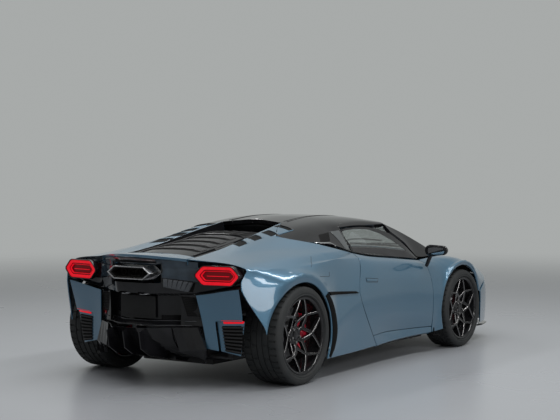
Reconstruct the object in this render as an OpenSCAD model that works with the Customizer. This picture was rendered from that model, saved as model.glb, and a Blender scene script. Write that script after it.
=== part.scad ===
// Mid-engined two-seat supercar: a body of separate skins on a central tub, with wheels that roll and
// steer, doors, a front bonnet and an engine cover.
// Millimetres: +X forward, +Y to the car's left, +Z up from the ground.

/* [Body] */
// Overall length, nose to diffuser
body_l = 4706; // [4300:1:5000]
// Overall width over the rear tyres, without mirrors
body_w = 1996; // [1850:1:2100]
// Overall height above the ground
body_h = 1201; // [1100:1:1320]
// Distance between the axles
wheelbase = 2658; // [2500:1:2800]
// Front axle to nose
front_overhang = 1158; // [1000:1:1250]
// Thickness of an outer skin such as a fender
skin = 9; // [5:1:14]
// Thickness of the roof and its pillars
roof_wall = 34; // [20:1:45]
// Thickness of glass
glass = 6; // [4:0.5:9]
// Shut gap between neighbouring panels
shut_gap = 6.5; // [5:0.5:8]

/* [Doors and lids] */
// Thickness of a whole door
door_wall = 78; // [50:1:95]
// Thickness of the bonnet and the engine cover
lid_wall = 16; // [10:1:24]

/* [Wheels] */
// Outer radius of a front tyre
front_tyre_r = 343; // [320:0.5:350]
// Outer radius of a rear tyre
rear_tyre_r = 364; // [340:0.5:372]
// Width of a front tyre
front_tyre_w = 255; // [225:1:275]
// Width of a rear tyre
rear_tyre_w = 325; // [285:1:335]
// Front rim radius at the bead
front_rim_r = 262; // [245:1:272]
// Rear rim radius at the bead
rear_rim_r = 275; // [255:1:284]
// Distance between the front tyres' middles
front_track = 1722; // [1600:1:1740]
// Distance between the rear tyres' middles
rear_track = 1670; // [1560:1:1680]
// Clearance from tyre to wheel arch
arch_gap = 34; // [25:1:60]
// Number of forked spokes in a wheel
spokes = 5; // [4:1:8]
// Radius of the hub spigot that carries a wheel
spigot_r = 34; // [28:0.5:40]
// Radial clearance from a brake disc to its rim's bead
disc_clear = 62; // [55:1:90]

/* [Hidden] */

nose_x = body_l/2;
tail_x = -body_l/2;
front_x = nose_x - front_overhang;
rear_x = front_x - wheelbase;
wide = body_w/1996;
tall = body_h/1201;
// Reference stations along the standard car, and where they lie on this one
stations = [[-2353, tail_x], [-1463, rear_x], [1195, front_x], [2353, nose_x]];
front_arch_r = front_tyre_r + arch_gap + 16;
rear_arch_r = rear_tyre_r + arch_gap;
lip = 22;
running = 0.06;
$fn = 96;

paint = [0.27, 0.33, 0.37];
gloss_black = [0.03, 0.03, 0.035];
dark = [0.08, 0.08, 0.085];
smoked = [0.12, 0.13, 0.14, 0.6];

// ---- Points, curves and skins ----

// A point of the standard car, stretched to this one's size
function at(x, y, z) = [lookup(x, stations), y*wide, z*tall];
function unit(v) = v/norm(v);
// A smooth curve through points a, read at segment i and share t
function spline_at(a, i, t) =
    let(p1 = a[i], p2 = a[i + 1],
        p0 = i > 0 ? a[i - 1] : 2*p1 - p2,
        p3 = i + 2 < len(a) ? a[i + 2] : 2*p2 - p1)
    (2*p1 + (p2 - p0)*t + (2*p0 - 5*p1 + 4*p2 - p3)*t*t + (3*p1 - p0 - 3*p2 + p3)*t*t*t)/2;
// The same curve as n + 1 points
function run(a, n) = [for (i = [0:n])
    let(s = i*(len(a) - 1)/n, k = min(len(a) - 2, floor(s))) spline_at(a, k, s - k)];
function transpose(m) = [for (j = [0:len(m[0]) - 1]) [for (r = m) r[j]]];
// Rows of points laid smoothly across the rows given, m steps in all
function loft(rows, m) = transpose([for (c = transpose(rows)) run(c, m)]);
// Two lists of rows or points that share an end
function join(a, b) = concat(a, [for (i = [1:len(b) - 1]) b[i]]);
function backwards(a) = [for (i = [len(a) - 1:-1:0]) a[i]];
// Half a skin, from its outer row to its middle row, with its mirror image added
function flip_y(r) = [for (p = r) [p.x, -p.y, p.z]];
function whole(half) = join(half, [for (r = backwards(half)) flip_y(r)]);
// The same for a skin whose rows run across the car
function across(half) = [for (r = half) join(r, backwards(flip_y(r)))];
function pull_ends(r, g) = let(n = len(r) - 1)
    [for (i = [0:n]) i == 0 ? r[0] + g*unit(r[1] - r[0]) : i == n ? r[n] + g*unit(r[n - 1] - r[n]) : r[i]];
// A skin drawn in by g at its border, which leaves the shut gap
function inset(m, g = shut_gap/2) = transpose([for (c = transpose([for (r = m) pull_ends(r,
    g)])) pull_ends(c, g)]);
// The way into the body from a point on its surface, the same for every panel, so that edges meet as mitres
core = [1750, 430, 480];
function clamp(v, lo, hi) = max(lo, min(hi, v));
function inward(p) = unit([clamp(p.x, -core.x, core.x), clamp(p.y, -core.y*wide, core.y*wide),
    core.z*tall] - p);
// A closed solid: a skin m of points, thickened inwards by t, over the cells that keep() accepts.
// draft draws the inner face in at its border, so that a thick panel swings clear of its neighbours.
module slab(m, t, keep = function(i, j) true, draft = 0) {
    nr = len(m);
    nc = len(m[0]);
    n = nr*nc;
    skin_pts = [for (r = m) each r];
    inner_pts = [for (r = draft > 0 ? inset(m, draft) : m) each [for (p = r) p + t*inward(p)]];
    kept = function(i, j) i >= 0 && j >= 0 && i < nr - 1 && j < nc - 1 && keep(i, j);
    a0 = m[0][0];
    normal = cross(m[0][nc - 1] - a0, m[nr - 1][0] - a0);
    turned = normal*inward(m[floor(nr/2)][floor(nc/2)]) > 0;
    cells = [for (i = [0:nr - 2]) for (j = [0:nc - 2]) if (kept(i, j)) [i, j]];
    quads = [for (c = cells) let(i = c[0], j = c[1], a = i*nc + j, b = a + 1, d = a + nc, e = d + 1) each [
        [a, d, e, b],
        [n + a, n + b, n + e, n + d],
        if (!kept(i - 1, j)) [a, b, n + b, n + a],
        if (!kept(i + 1, j)) [e, d, n + d, n + e],
        if (!kept(i, j - 1)) [d, a, n + a, n + d],
        if (!kept(i, j + 1)) [b, e, n + e, n + b]]];
    tris = [for (q = quads) each [[q[0], q[1], q[2]], [q[0], q[2], q[3]]]];
    used = [for (t3 = tris) turned ? [t3[2], t3[1], t3[0]] : t3];
    polyhedron(points = concat(skin_pts, inner_pts), faces = used, convexity = 6);
}
module left_right(side) { if (side > 0) children(); else mirror([0, 1, 0]) children(); }
module both() { children(); mirror([0, 1, 0]) children(); }

// Half width of the body side at station x
side_line = [[-2040, 838], [-1863, 926], [-1700, 970], [-1463, 988], [-1000, 984], [-590, 958], [0, 940],
    [400, 945], [660, 956], [850, 968], [1195, 978], [1500, 962], [1700, 925], [1900, 850]];
function side_y(x) = lookup(x, [for (s = side_line) [lookup(s[0], stations), s[1]*wide]]);
// A point at angle a and radius r from an axle, on the body side
function ring(cx, cz, r, a, out = 0) = let(x = cx + r*cos(a)) [x, side_y(x) + out, cz + r*sin(a)];
function rear_ring(r, a, out = 0) = ring(rear_x, rear_tyre_r, rear_arch_r + r, a, out);
function front_ring(r, a, out = 0) = ring(front_x, front_tyre_r, front_arch_r + r, a, out);
function sweep(a, b, n) = [for (i = [0:n]) a + (b - a)*i/n];

// ---- Rear quarter ----

// How far the haunch over the rear wheel rises with a larger tyre
haunch = 2*(rear_tyre_r - 364);
function over_arch(x, y, z, share = 1) = at(x, y, z) + [0, 0, share*haunch];
cut_n = 5;   // columns ahead of the rear arch
arch_n = 14; // columns over the arch
quarter_n = cut_n + arch_n;
// Where the black pillar meets the painted quarter, from the engine bay to the belt line
notch = [at(-700, 285, 1155), at(-1071, 480, 1070), at(-900, 680, 1022), at(-640, 842, 944),
    at(-462, 812, 916)];
bay_edge = [notch[0], at(-1100, 310, 1083), at(-1500, 325, 1005), at(-1850, 345, 955), at(-2105, 400, 945)];
bay_depth = [120, 120, 110, 90, 42];
bay_wall = [for (i = [0:4]) bay_edge[i] - [0, bay_depth[i]*0.12, bay_depth[i]]];
deck_rows = [
    run(bay_edge, quarter_n),
    run([notch[1], at(-1450, 500, 1010), at(-1700, 505, 968), at(-1900, 500, 944), at(-2048, 500, 932)],
        quarter_n),
    run([notch[2], at(-1200, 690, 985), over_arch(-1500, 690, 960, 0.4), at(-1800, 670, 934),
        at(-2012, 650, 921)],
        quarter_n),
    run([notch[3], at(-900, 850, 944), over_arch(-1300, 832, 932, 0.8), over_arch(-1700, 790, 917, 0.6),
        at(-1999, 735, 909)],
        quarter_n),
    run([notch[4], at(-780, 888, 898), over_arch(-1250, 900, 892), over_arch(-1700, 856, 888, 0.8),
        at(-1992, 792, 896)],
        quarter_n)];
door_rear = [notch[4], at(-476, 892, 845), at(-590, 958, 615), at(-460, 960, 370)];
quarter_foot = at(-290, 940, 162);
fin_tip = rear_ring(0, 175);
fin_top = at(-2035, 820, 735);
shoulder_row = run([door_rear[1], at(-900, 925, 850), over_arch(-1300, 945, 858),
    over_arch(-1700, 905, 858, 0.8),
    at(-1985, 834, 866)],
    quarter_n);
flank_row = join(run([door_rear[2], at(-800, 972, 520), rear_ring(62, 5, 8)], cut_n),
    run([rear_ring(62, 5, 8), rear_ring(62, 30, 8), rear_ring(62, 60, 8), rear_ring(60, 90, 8),
        rear_ring(62, 115, 8),
        at(-1780, 945, 768), fin_top], arch_n));
lip_row = join(run([door_rear[3], at(-760, 968, 320), rear_ring(lip, -25, 8)], cut_n),
    [for (a = sweep(-25, 168, arch_n)) rear_ring(lip, a, a > 150 ? 2 : 8)]);
edge_row = join(run([quarter_foot, at(-700, 962, 153), rear_ring(0, -32)], cut_n),
    [for (a = sweep(-32, 175, arch_n)) rear_ring(0, a)]);
quarter_skin = join(join(
    join([run(bay_wall, quarter_n), deck_rows[0]], loft(deck_rows, 8)),
    loft([deck_rows[4], shoulder_row, flank_row, lip_row], 9)), [lip_row, edge_row]);

module rear_fender(side) {
    color(paint) left_right(side) slab(inset(quarter_skin), skin);
}

// ---- Roof, pillars and glass ----

roof_n = 5;   // columns over the doors
pillar_n = 4; // columns in the rear pillar
function roof_row(front, back) = join(run(front, roof_n), run(back, pillar_n));
// Above the side intake the pillar stands in from the quarter
intake_top = at(-690, 768, 992);
pillar_foot = at(-462, 807, 923);
roof_rows = [
    roof_row([at(370, 0, 1166), at(60, 0, 1197), at(-300, 0, 1198)],
        [at(-300, 0, 1198), at(-640, 0, 1180)]),
    roof_row([at(375, 285, 1160), at(60, 285, 1192), at(-300, 285, 1192)], [at(-300, 285, 1192), notch[0]]),
    roof_row([at(382, 450, 1148), at(60, 450, 1179), at(-300, 460, 1175)],
        [at(-300, 460, 1175), at(-700, 470, 1136), notch[1]]),
    roof_row([at(390, 560, 1134), at(60, 560, 1160), at(-320, 568, 1150)],
        [at(-320, 568, 1150), at(-620, 620, 1090), notch[2]]),
    roof_row([at(394, 600, 1124), at(60, 602, 1143), at(-345, 604, 1132)],
        [at(-345, 604, 1132), at(-500, 690, 1052), intake_top]),
    roof_row([at(398, 616, 1114), at(120, 630, 1116), at(-130, 628, 1122), at(-365, 630, 1112)],
        [at(-365, 630, 1112), at(-440, 740, 1000), pillar_foot])];
roof_skin = whole(backwards(join(loft([roof_rows[0], roof_rows[1]], 2),
    loft([for (i = [1:5]) roof_rows[i]], 8))));

screen_side = [at(1120, 765, 815), at(880, 718, 925), at(620, 662, 1035), at(400, 614, 1114)];
screen_mid = [at(1190, 400, 852), at(925, 370, 965), at(640, 335, 1078), at(376, 300, 1158)];
screen_centre = [at(1212, 0, 866), at(935, 0, 985), at(648, 0, 1096), at(370, 0, 1166)];
screen_n = 7;
screen_rows = loft([run(screen_side, screen_n), run(screen_mid, screen_n), run(screen_centre, screen_n)],
    6);
// The pillar runs from the roof rail down to the scuttle, and fills the corner ahead of the door glass
pillar_outer = [at(1114, 768, 818), at(900, 784, 818), at(668, 790, 824), at(562, 734, 948),
    at(400, 677, 1052),
    at(400, 625, 1108)];
module windshield() { color(smoked) slab(inset(whole(screen_rows), 4), glass); }
module roof() {
    color(gloss_black) {
        slab(inset(roof_skin), roof_wall, draft = 6);
        both() slab(inset([run(pillar_outer, 10), run([for (i = [0:3]) screen_side[i]], 10)], 3),
            roof_wall);
    }
}

// ---- Doors ----

belt = [notch[4], at(-250, 834, 880), at(60, 834, 852), at(360, 833, 823), at(660, 828, 795)];
door_n = 10;
door_rows = [
    run(belt, door_n),
    run([door_rear[1], at(-250, 898, 814), at(60, 892, 790), at(360, 894, 768), at(660, 900, 745)], door_n),
    run([door_rear[2], at(-270, 946, 590), at(60, 938, 580), at(360, 944, 570), at(660, 958, 560)], door_n),
    run([door_rear[3], at(-200, 952, 385), at(80, 944, 372), at(360, 948, 350), at(660, 958, 325)],
        door_n)];
// A shoulder crease half way down, which runs out at the door's edges
door_steps = 12;
crease_out = 11;
crease_span = [[0, 0], [2, 1], [door_n - 2, 1], [door_n, 0]];
function crease(i, j) = crease_out*pow(max(0, 1 - abs(i/door_steps*2 - 1)*1.8), 1.5)*lookup(j, crease_span);
door_flat = loft(door_rows, door_steps);
door_sides = [for (i = [0:door_steps]) [for (j = [0:door_n]) door_flat[i][j] + [0, crease(i, j), 0]]];
foot_share = 0.584; // share of the way from the door's rear corner to the quarter's foot
door_foot = door_rear[3] + foot_share*(quarter_foot - door_rear[3]);
door_bottom = run([door_foot, at(-120, 926, 255), at(130, 918, 247), at(390, 926, 238), at(660, 944, 228)],
    door_n);
door_skin = join(door_sides, [door_rows[3], door_bottom]);
glass_top = [at(-368, 636, 1104), at(-130, 634, 1112), at(120, 637, 1100), at(392, 672, 1040),
    at(552, 728, 940),
    at(648, 792, 822)];
glass_foot = [at(-450, 804, 921), at(-250, 822, 890), at(-20, 826, 868), at(210, 826, 846),
    at(430, 824, 826),
    at(648, 818, 806)];
module door(side) {
    color(paint) left_right(side) slab(inset(door_skin, shut_gap*0.6), door_wall, draft = 14);
}
module door_glass(side) {
    color(smoked) left_right(side) slab(inset(loft([run(glass_top, 12), run(glass_foot, 12)], 4), 7),
        glass);
}

// ---- Sills ----

sill_tuck = 16; // how far the sill's lower face turns under
sill_foot = run([quarter_foot, at(-50, 930, 173), at(200, 925, 178), at(430, 930, 180), at(660, 942, 178)],
    door_n);
sill_under = [for (p = sill_foot) p - [0, 26, sill_tuck*tall]];
module side_sills() {
    color(paint) both() slab(inset(join(loft([door_bottom, sill_foot], 2), [sill_foot, sill_under])),
        skin*2);
}

// ---- Front fender and bonnet ----

lead_n = 4;   // columns ahead of the door cut
hood_n = 12;
bonnet_side = [at(1125, 775, 814), at(1330, 722, 792), at(1600, 660, 728), at(1850, 622, 662),
    at(1985, 610, 618)];
front_n = lead_n + hood_n;
fender_rows = [
    join(run([at(700, 806, 800), at(900, 800, 806), bonnet_side[0]], lead_n), run(bonnet_side, hood_n)),
    run([belt[4], at(950, 834, 808), at(1200, 842, 800), at(1450, 850, 756), at(1700, 848, 674),
        at(1890, 828, 590)],
        front_n),
    run([door_rows[1][door_n], at(900, 908, 752), at(1195, 920, 776), at(1430, 918, 734),
        at(1650, 905, 656),
        at(1862, 868, 575)], front_n),
    join(run([door_rows[2][door_n], at(740, 966, 560), front_ring(40, 150, 7)], lead_n),
        run([front_ring(40, 150, 7), front_ring(38, 120, 7), front_ring(34, 90, 7), front_ring(38, 60, 7),
            front_ring(44, 38, 5), at(1790, 900, 540)], hood_n)),
    join(run([door_rows[3][door_n], at(735, 962, 330), front_ring(18, 185, 7)], lead_n),
        [for (a = sweep(185, 18, hood_n)) front_ring(18, a, 7)])];
fender_edge = join(run([sill_foot[door_n], at(730, 946, 178), front_ring(0, 203)], lead_n),
    [for (a = sweep(203, 18, hood_n)) front_ring(0, a)]);
fender_skin = join(loft(fender_rows, 10), [fender_rows[4], fender_edge]);
bonnet_skin = whole(loft([run(bonnet_side, hood_n),
    run([at(1200, 450, 850), at(1420, 425, 806), at(1680, 395, 742), at(1920, 360, 678),
        at(2118, 330, 620)], hood_n),
    run([at(1222, 0, 868), at(1440, 0, 822), at(1700, 0, 758), at(1960, 0, 690), at(2196, 0, 625)],
        hood_n)], 8));
module front_fender(side) { color(paint) left_right(side) slab(inset(fender_skin), skin); }
module bonnet() { color(paint) slab(inset(bonnet_skin, shut_gap*0.75), lid_wall, draft = 4); }

// ---- Nose ----

nose_n = 14;
lamp_top = [at(1894, 822, 588), at(1990, 608, 614), at(2118, 330, 616)];
lamp_foot = [at(1918, 832, 556), at(2050, 640, 566), at(2190, 360, 574)];
nose_rows = [
    run([at(1582, 966, 468), at(1785, 908, 536), lamp_foot[0], lamp_foot[1], lamp_foot[2],
        at(2240, 160, 612),
        at(2250, 0, 618)], nose_n),
    run([at(1592, 964, 400), at(1815, 900, 450), at(1950, 835, 478), at(2085, 650, 492), at(2220, 380, 505),
        at(2315, 160, 515), at(2340, 0, 520)], nose_n),
    run([at(1600, 958, 290), at(1820, 892, 300), at(1965, 830, 305), at(2095, 650, 310), at(2225, 390, 315),
        at(2305, 170, 320), at(2325, 0, 322)], nose_n),
    run([at(1632, 940, 168), at(1830, 880, 165), at(1975, 815, 160), at(2100, 640, 155), at(2220, 400, 152),
        at(2298, 180, 150), at(2318, 0, 150)], nose_n)];
nose_wrap = across(loft(nose_rows, 9));
// Air intakes: a pair at the corners and a slot across the middle
function nose_kept(i, j) = let(k = min(i, 2*nose_n - 1 - i))
    !((k >= 5 && k <= 9 && j >= 4 && j <= 7) || (k >= 11 && j >= 5 && j <= 7));
module front_bumper() {
    color(paint) slab(inset(transpose(nose_wrap)), skin*1.5, function(i, j) nose_kept(i, j));
}
module front_splitter() {
    rim = nose_rows[3];
    row = join(rim, backwards(flip_y(rim)));
    blade = [for (p = row) p + [nose_x - rim[nose_n].x, sign(p.y)*6, -24]];
    back = [for (p = row) p - [lookup(abs(p.y), [[0, 160], [650, 110], [900, 12]]),
        sign(p.y)*min(abs(p.y), 30), 30]];
    color(gloss_black) slab(inset([blade, back], 0.5), 12);
}
module headlamps() {
    color([0.8, 0.82, 0.85, 0.6]) both() slab(inset(loft([run(lamp_top, 8), run(lamp_foot, 8)], 2), 3), 60);
}

// ---- Tail ----

tail_line = [[0, -2268], [137, -2266], [223, -2200], [469, -2050], [825, -1990], [900, -1960]];
function tail_point(y, z, d = 0) = at(lookup(y, tail_line) + d, y, z);
deck_lip = [at(-2105, 400, 945), at(-2200, 254, 963), at(-2300, 90, 978), at(-2312, 0, 980)];
deck_front = [at(-1950, 362, 948), at(-1950, 254, 962), at(-1950, 100, 970), at(-1950, 0, 971)];
lip_drop = 24;
module tail_panel() {
    rows = loft([run(deck_front, 6), run(deck_lip, 6)], 3);
    edge = [for (p = run(deck_lip, 6)) p + [14, 0, -lip_drop]];
    full = [for (r = join(rows, [run(deck_lip, 6), edge])) join(r, backwards(flip_y(r)))];
    color(paint) slab(inset(full, 1.5*shut_gap), skin);
}
fascia_y = [815, 700, 580, 469, 340, 223, 137, 0];
module rear_fascia() {
    top = run([for (y = fascia_y) tail_point(y, y > 469 ? 884 : 884 + (469 - y)*0.13, 12)], 14);
    mid = run([for (y = fascia_y) tail_point(y, 770, 10)], 14);
    low = run([for (y = fascia_y) tail_point(y, lookup(y, [[0, 690], [440, 690], [828, 752]]), 26)], 14);
    upper = across(loft([top, mid, low], 4));
    plate_y = [478, 440, 330, 318, 150, 0];
    lower = across([for (r = [[684, 30, 30], [674, 36, 112], [560, 44, 120], [500, 44, 120], [452, 40, 46]])
        run([for (y = plate_y) tail_point(y, r[0], y < 320 ? r[2] : r[1])], 10)]);
    color(gloss_black) {
        slab(inset(upper, 3), skin, function(i, j) let(k = min(j, 27 - j)) !(k >= 10 && i <= 1));
        slab(inset(lower, 3), skin);
    }
}
plate_hole_r = 3.3;
plate_pitch = [177.8, 120.65];
plate_at = at(-2170, 0, 588);
// Holder for a licence plate, with a hole at each corner of the plate
module plate_holder() {
    color(gloss_black) translate(plate_at) rotate([0, -90, 0]) difference() {
        translate([-81, -160, 0]) cube([162, 320, 8]);
        for (u = [-1, 1], v = [-1, 1]) translate([u*plate_pitch.y/2, v*plate_pitch.x/2, -1])
            cylinder(r = plate_hole_r, h = 10);
    }
}
module lamp_outline(w, h, point) {
    polygon([[-w/2, 0], [-w/2 + point, h/2], [w/2 - point, h/2], [w/2, 0], [w/2 - point, -h/2],
        [-w/2 + point, -h/2]]);
}
module on_tail(y, z, out = 0) {
    a = tail_point(y - 60, z);
    b = tail_point(y + 60, z);
    turn = atan2(b.x - a.x, b.y - a.y);
    translate(tail_point(y, z) - [out, 0, 0]) rotate([0, 0, -turn]) rotate([90, 0, -90]) children();
}
lamp_size = [380, 150];
lamp_point = 70;
module tail_lamps() {
    color([0.7, 0.02, 0.03]) both() on_tail(638, 830, 26) linear_extrude(36)
        lamp_outline(lamp_size.x, lamp_size.y, lamp_point);
}
module exhaust_outlet() {
    color([0.55, 0.56, 0.58]) translate([at(-2292, 0, 0).x, 0, 842*tall]) rotate([90, 0, 90]) difference() {
        linear_extrude(150) lamp_outline(404, 98, 66);
        translate([0, 0, -1]) linear_extrude(120) lamp_outline(372, 72, 56);
    }
}
module rear_bumper() {
    top = [at(-2070, 444, 684), at(-2050, 560, 702), at(-2035, 690, 726), at(-2028, 800, 742)];
    mid = [at(-2035, 474, 490), at(-2010, 560, 494), at(-1985, 690, 498), at(-1958, 786, 500)];
    low = [at(-2006, 496, 288), at(-1985, 580, 276), at(-1965, 680, 258), at(-1942, 742, 243)];
    color(paint) both() slab(inset(loft([run(top, 8), run(mid, 8), run(low, 8)], 8), 3), skin*1.5,
        function(i, j) !(i >= 4 && j >= 3));
    color(dark) both() {
        grid = loft([run(mid, 8), run(low, 8)], 8);
        moved = [for (r = grid) [for (p = r) p + [24, 0, 0]]];
        slab([for (i = [0:8]) [for (j = [3:8]) moved[i][j]]], 8);
    }
}
fin_line = [[-2283, 440], [-2353, 420], [-2331, 300], [-2243, 245], [-1793, 152], [-1753, 175],
    [-2023, 250],
    [-2183, 340]];
module diffuser() {
    ramp = [
        run([at(-2310, 0, 446), at(-2285, 150, 446), at(-2157, 292, 446)], 4),
        run([at(-2170, 0, 300), at(-2150, 150, 300), at(-2100, 300, 300)], 4),
        run([at(-1950, 0, 205), at(-1930, 180, 205), at(-1920, 400, 205)], 4),
        run([at(-1700, 0, 170), at(-1700, 200, 170), at(-1700, 480, 170)], 4)];
    blade = [run([at(-2053, 452, 448), at(-2157, 302, 446)], 3),
        run([at(-2036, 514, 292), at(-2127, 346, 272)], 3),
        run([at(-2041, 509, 188), at(-1960, 470, 196)], 3)];
    color(gloss_black) {
        slab(across([for (r = loft(ramp, 6)) backwards(r)]), 10);
        for (y = [0, 150, -150]) translate([0, y*wide + 5, 0]) rotate([90, 0, 0]) linear_extrude(10)
            polygon([for (p = fin_line) [at(p.x, 0, 0).x, p.y*tall]]);
        both() slab(blade, 24);
    }
}

// ---- Engine bay ----

module engine_cover() {
    side = [for (p = run([at(-712, 268, 1040), at(-1000, 280, 1062), at(-1400, 296, 1000),
        at(-1935, 330, 930)], 10)) p];
    mid = run([at(-712, 150, 1044), at(-1000, 160, 1082), at(-1400, 160, 1030), at(-1935, 170, 952)], 10);
    centre = run([at(-712, 0, 1046), at(-1000, 0, 1086), at(-1400, 0, 1036), at(-1935, 0, 956)], 10);
    color(gloss_black) slab(inset(whole(loft([side, mid, centre], 4)), 6), lid_wall);
}
module rear_window() {
    top = run([at(-640, 0, 1128), at(-645, 150, 1122), at(-655, 262, 1106)], 4);
    foot = run([at(-560, 0, 880), at(-560, 200, 880), at(-560, 400, 880)], 4);
    rows = [for (r = loft([top, foot], 4)) join([for (i = [4:-1:0]) r[i]], flip_y(r))];
    color(smoked) slab(rows, glass);
}
module engine() {
    color(dark) translate([at(-1290, 0, 0).x, 0, 0]) {
        translate([-370, -260, 190*tall]) cube([740, 520, 420*tall]);
        both() translate([-300, 60, 610*tall]) rotate([-28, 0, 0]) cube([600, 200, 180*tall]);
        translate([-560, -180, 230*tall]) cube([200, 360, 330*tall]);
    }
}

// ---- Tub, cabin and underbody ----

jack_r = 32;
pad_h = 14;
jack_stations = [rear_x + 620, front_x - 560];
// Glue line between the tub's pieces
bond = 0.5;
pan = 34;
sill_h = 240*tall;
// A plain piece of the tub, from its lowest corner to its highest
module piece(low, high) { translate(low) cube(high - low); }
module tub() {
    sill_y = 800*wide;
    sill_in = sill_y - 110;
    floor_z = 128*tall;
    floor_top = floor_z + pan;
    above = floor_top + bond;
    foot_y = 500*wide;
    nose_wall = front_x - 200;
    nose_end = at(2055, 0, 0).x;
    well_wall = front_x - front_arch_r - 60;
    rear_wall = at(-620, 0, 0).x;
    cabin_x = rear_wall + 50 + bond;
    bay_end = at(-1703, 0, 0).x;
    rail_z = rear_tyre_r + arch_gap;
    color(dark) {
        piece([cabin_x, bond - sill_in, floor_z], [well_wall, sill_in - bond, floor_top]);
        both() piece([cabin_x, sill_in, floor_z], [well_wall, sill_y, floor_z + sill_h]);
        piece([rear_wall, -sill_y, floor_z], [rear_wall + 50, sill_y, floor_z + 690*tall]);
        piece([well_wall + bond, -foot_y, floor_z], [nose_wall - 50 - bond, foot_y, floor_top]);
        piece([nose_wall - 50, -foot_y, floor_z], [nose_wall, foot_y, floor_z + 640*tall]);
        piece([cabin_x, -110, above], [well_wall, 110, floor_z + 230*tall]);
        piece([bay_end, -330*wide, floor_z], [rear_wall - bond, 330*wide, floor_z + 40]);
        both() piece([rear_x - 340, 380*wide, rail_z], [rear_wall - bond, 380*wide + 50, rail_z + 80]);
        piece([nose_wall + bond, -380*wide, floor_z], [nose_end, 380*wide, floor_top]);
        both() piece([front_x + 200, 330*wide, above], [nose_end - 40, 330*wide + 40, above + 155]);
        both() for (x = jack_stations) translate([x, sill_y - 70, floor_z - pad_h])
            cylinder(r = jack_r, h = pad_h - bond);
    }
}
module seat() {
    cushion_z = 190*tall;
    color(dark) translate([at(25, 0, 0).x, 0, cushion_z]) difference() {
        rotate([90, 0, 0]) translate([0, 0, -240]) linear_extrude(480)
            offset(12) offset(-12) polygon([[-180, 0], [430, 40], [440, 150], [120, 110], [-150, 130],
                [-420, 820], [-540, 810], [-320, 60]]);
        rotate([90, 0, 0]) translate([0, 0, -170]) linear_extrude(340)
            polygon([[-90, 150], [470, 190], [470, 80], [120, 70], [-110, 80], [-400, 720], [-330, 730]]);
    }
}
module seats() { both() translate([0, 370*wide, 0]) seat(); }
module dash_part(half_w, outline) {
    translate([at(720, 0, 0).x, half_w*wide, 0]) rotate([90, 0, 0]) linear_extrude(2*half_w*wide)
        polygon([for (p = outline) [p.x, p.y*tall]]);
}
module dashboard() {
    color(dark) difference() {
        union() {
            dash_part(690, [[0, 560], [-60, 640], [-40, 720], [40, 758], [62, 757], [62, 580]]);
            dash_part(540, [[50, 576], [50, 755], [190, 748], [205, 690], [110, 600]]);
            translate([at(400, 0, 0).x, -90, 362*tall]) cube([at(720, 0, 0).x - at(400, 0, 0).x + 60, 180,
                215*tall]);
        }
        translate(column_at) rotate([0, -90 + column_tilt, 0]) {
            translate([0, 0, -column_l - 60]) cylinder(r = column_r + running, h = column_l + 100);
        }
    }
}
column_tilt = 22;
column_r = 22;
column_l = 190;
column_at = at(560, 370, 705);
module steering_wheel() {
    color(dark) translate(column_at) rotate([0, -90 + column_tilt, 0]) {
        rotate_extrude() translate([172, 0]) circle(15);
        translate([0, 0, -18]) cylinder(r = 46, h = 36);
        for (a = [90, 180, 270]) rotate([0, 0, a]) translate([40, -16, -8]) cube([120, 32, 14]);
        translate([0, 0, -column_l]) cylinder(r = column_r, h = column_l - 10);
    }
}

// ---- Wheels, brakes and suspension ----

function rounded(r, cx, cy, a, b, n = 5) = [for (i = [0:n]) let(t = a + (b - a)*i/n) [cx + r*cos(t),
    cy + r*sin(t)]];
module tyre(r, w, bead) {
    crown = 30;
    color([0.05, 0.05, 0.05]) rotate([90, 0, 0]) rotate_extrude($fn = 128)
        polygon(concat(
            [[bead, -w/2 + 20.5], [bead, w/2 - 20.5], [bead + 15, w/2 - 20.5], [bead + 22, w/2 - 8]],
            [[bead + (r - bead)*0.5, w/2]],
            rounded(crown, r - crown, w/2 - crown - 3, 82, 8),
            rounded(crown, r - crown, -w/2 + crown + 3, -8, -82),
            [[bead + (r - bead)*0.5, -w/2], [bead + 22, -w/2 + 8], [bead + 15, -w/2 + 20.5]]));
}
// One forked spoke, flat: a stem that parts into two arms, which meet the neighbours' arms at the rim
module fork(reach, stem) {
    half = 180/spokes;
    knee = reach*0.52;
    polygon([[0, -stem], [knee*0.9, -stem*0.8], [reach*0.8, -reach*0.8*tan(half*0.62) - stem*0.6],
        [reach*cos(half*0.8), -reach*sin(half*0.8) - stem*0.5],
            [reach*cos(half*0.66), -reach*sin(half*0.66) + stem*0.1],
        [reach*0.8, -reach*0.8*tan(half*0.62) + stem*0.55], [knee*1.12, 0],
            [reach*0.8, reach*0.8*tan(half*0.62) - stem*0.55],
        [reach*cos(half*0.66), reach*sin(half*0.66) - stem*0.1],
            [reach*cos(half*0.8), reach*sin(half*0.8) + stem*0.5],
        [reach*0.8, reach*0.8*tan(half*0.62) + stem*0.6], [knee*0.9, stem*0.8], [0, stem]]);
}
// The wheel's mounting face, outboard of the tyre's middle
hub_face = 36;
// The kingpin's axis, inboard of the tyre's middle
kingpin_in = 75;
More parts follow.
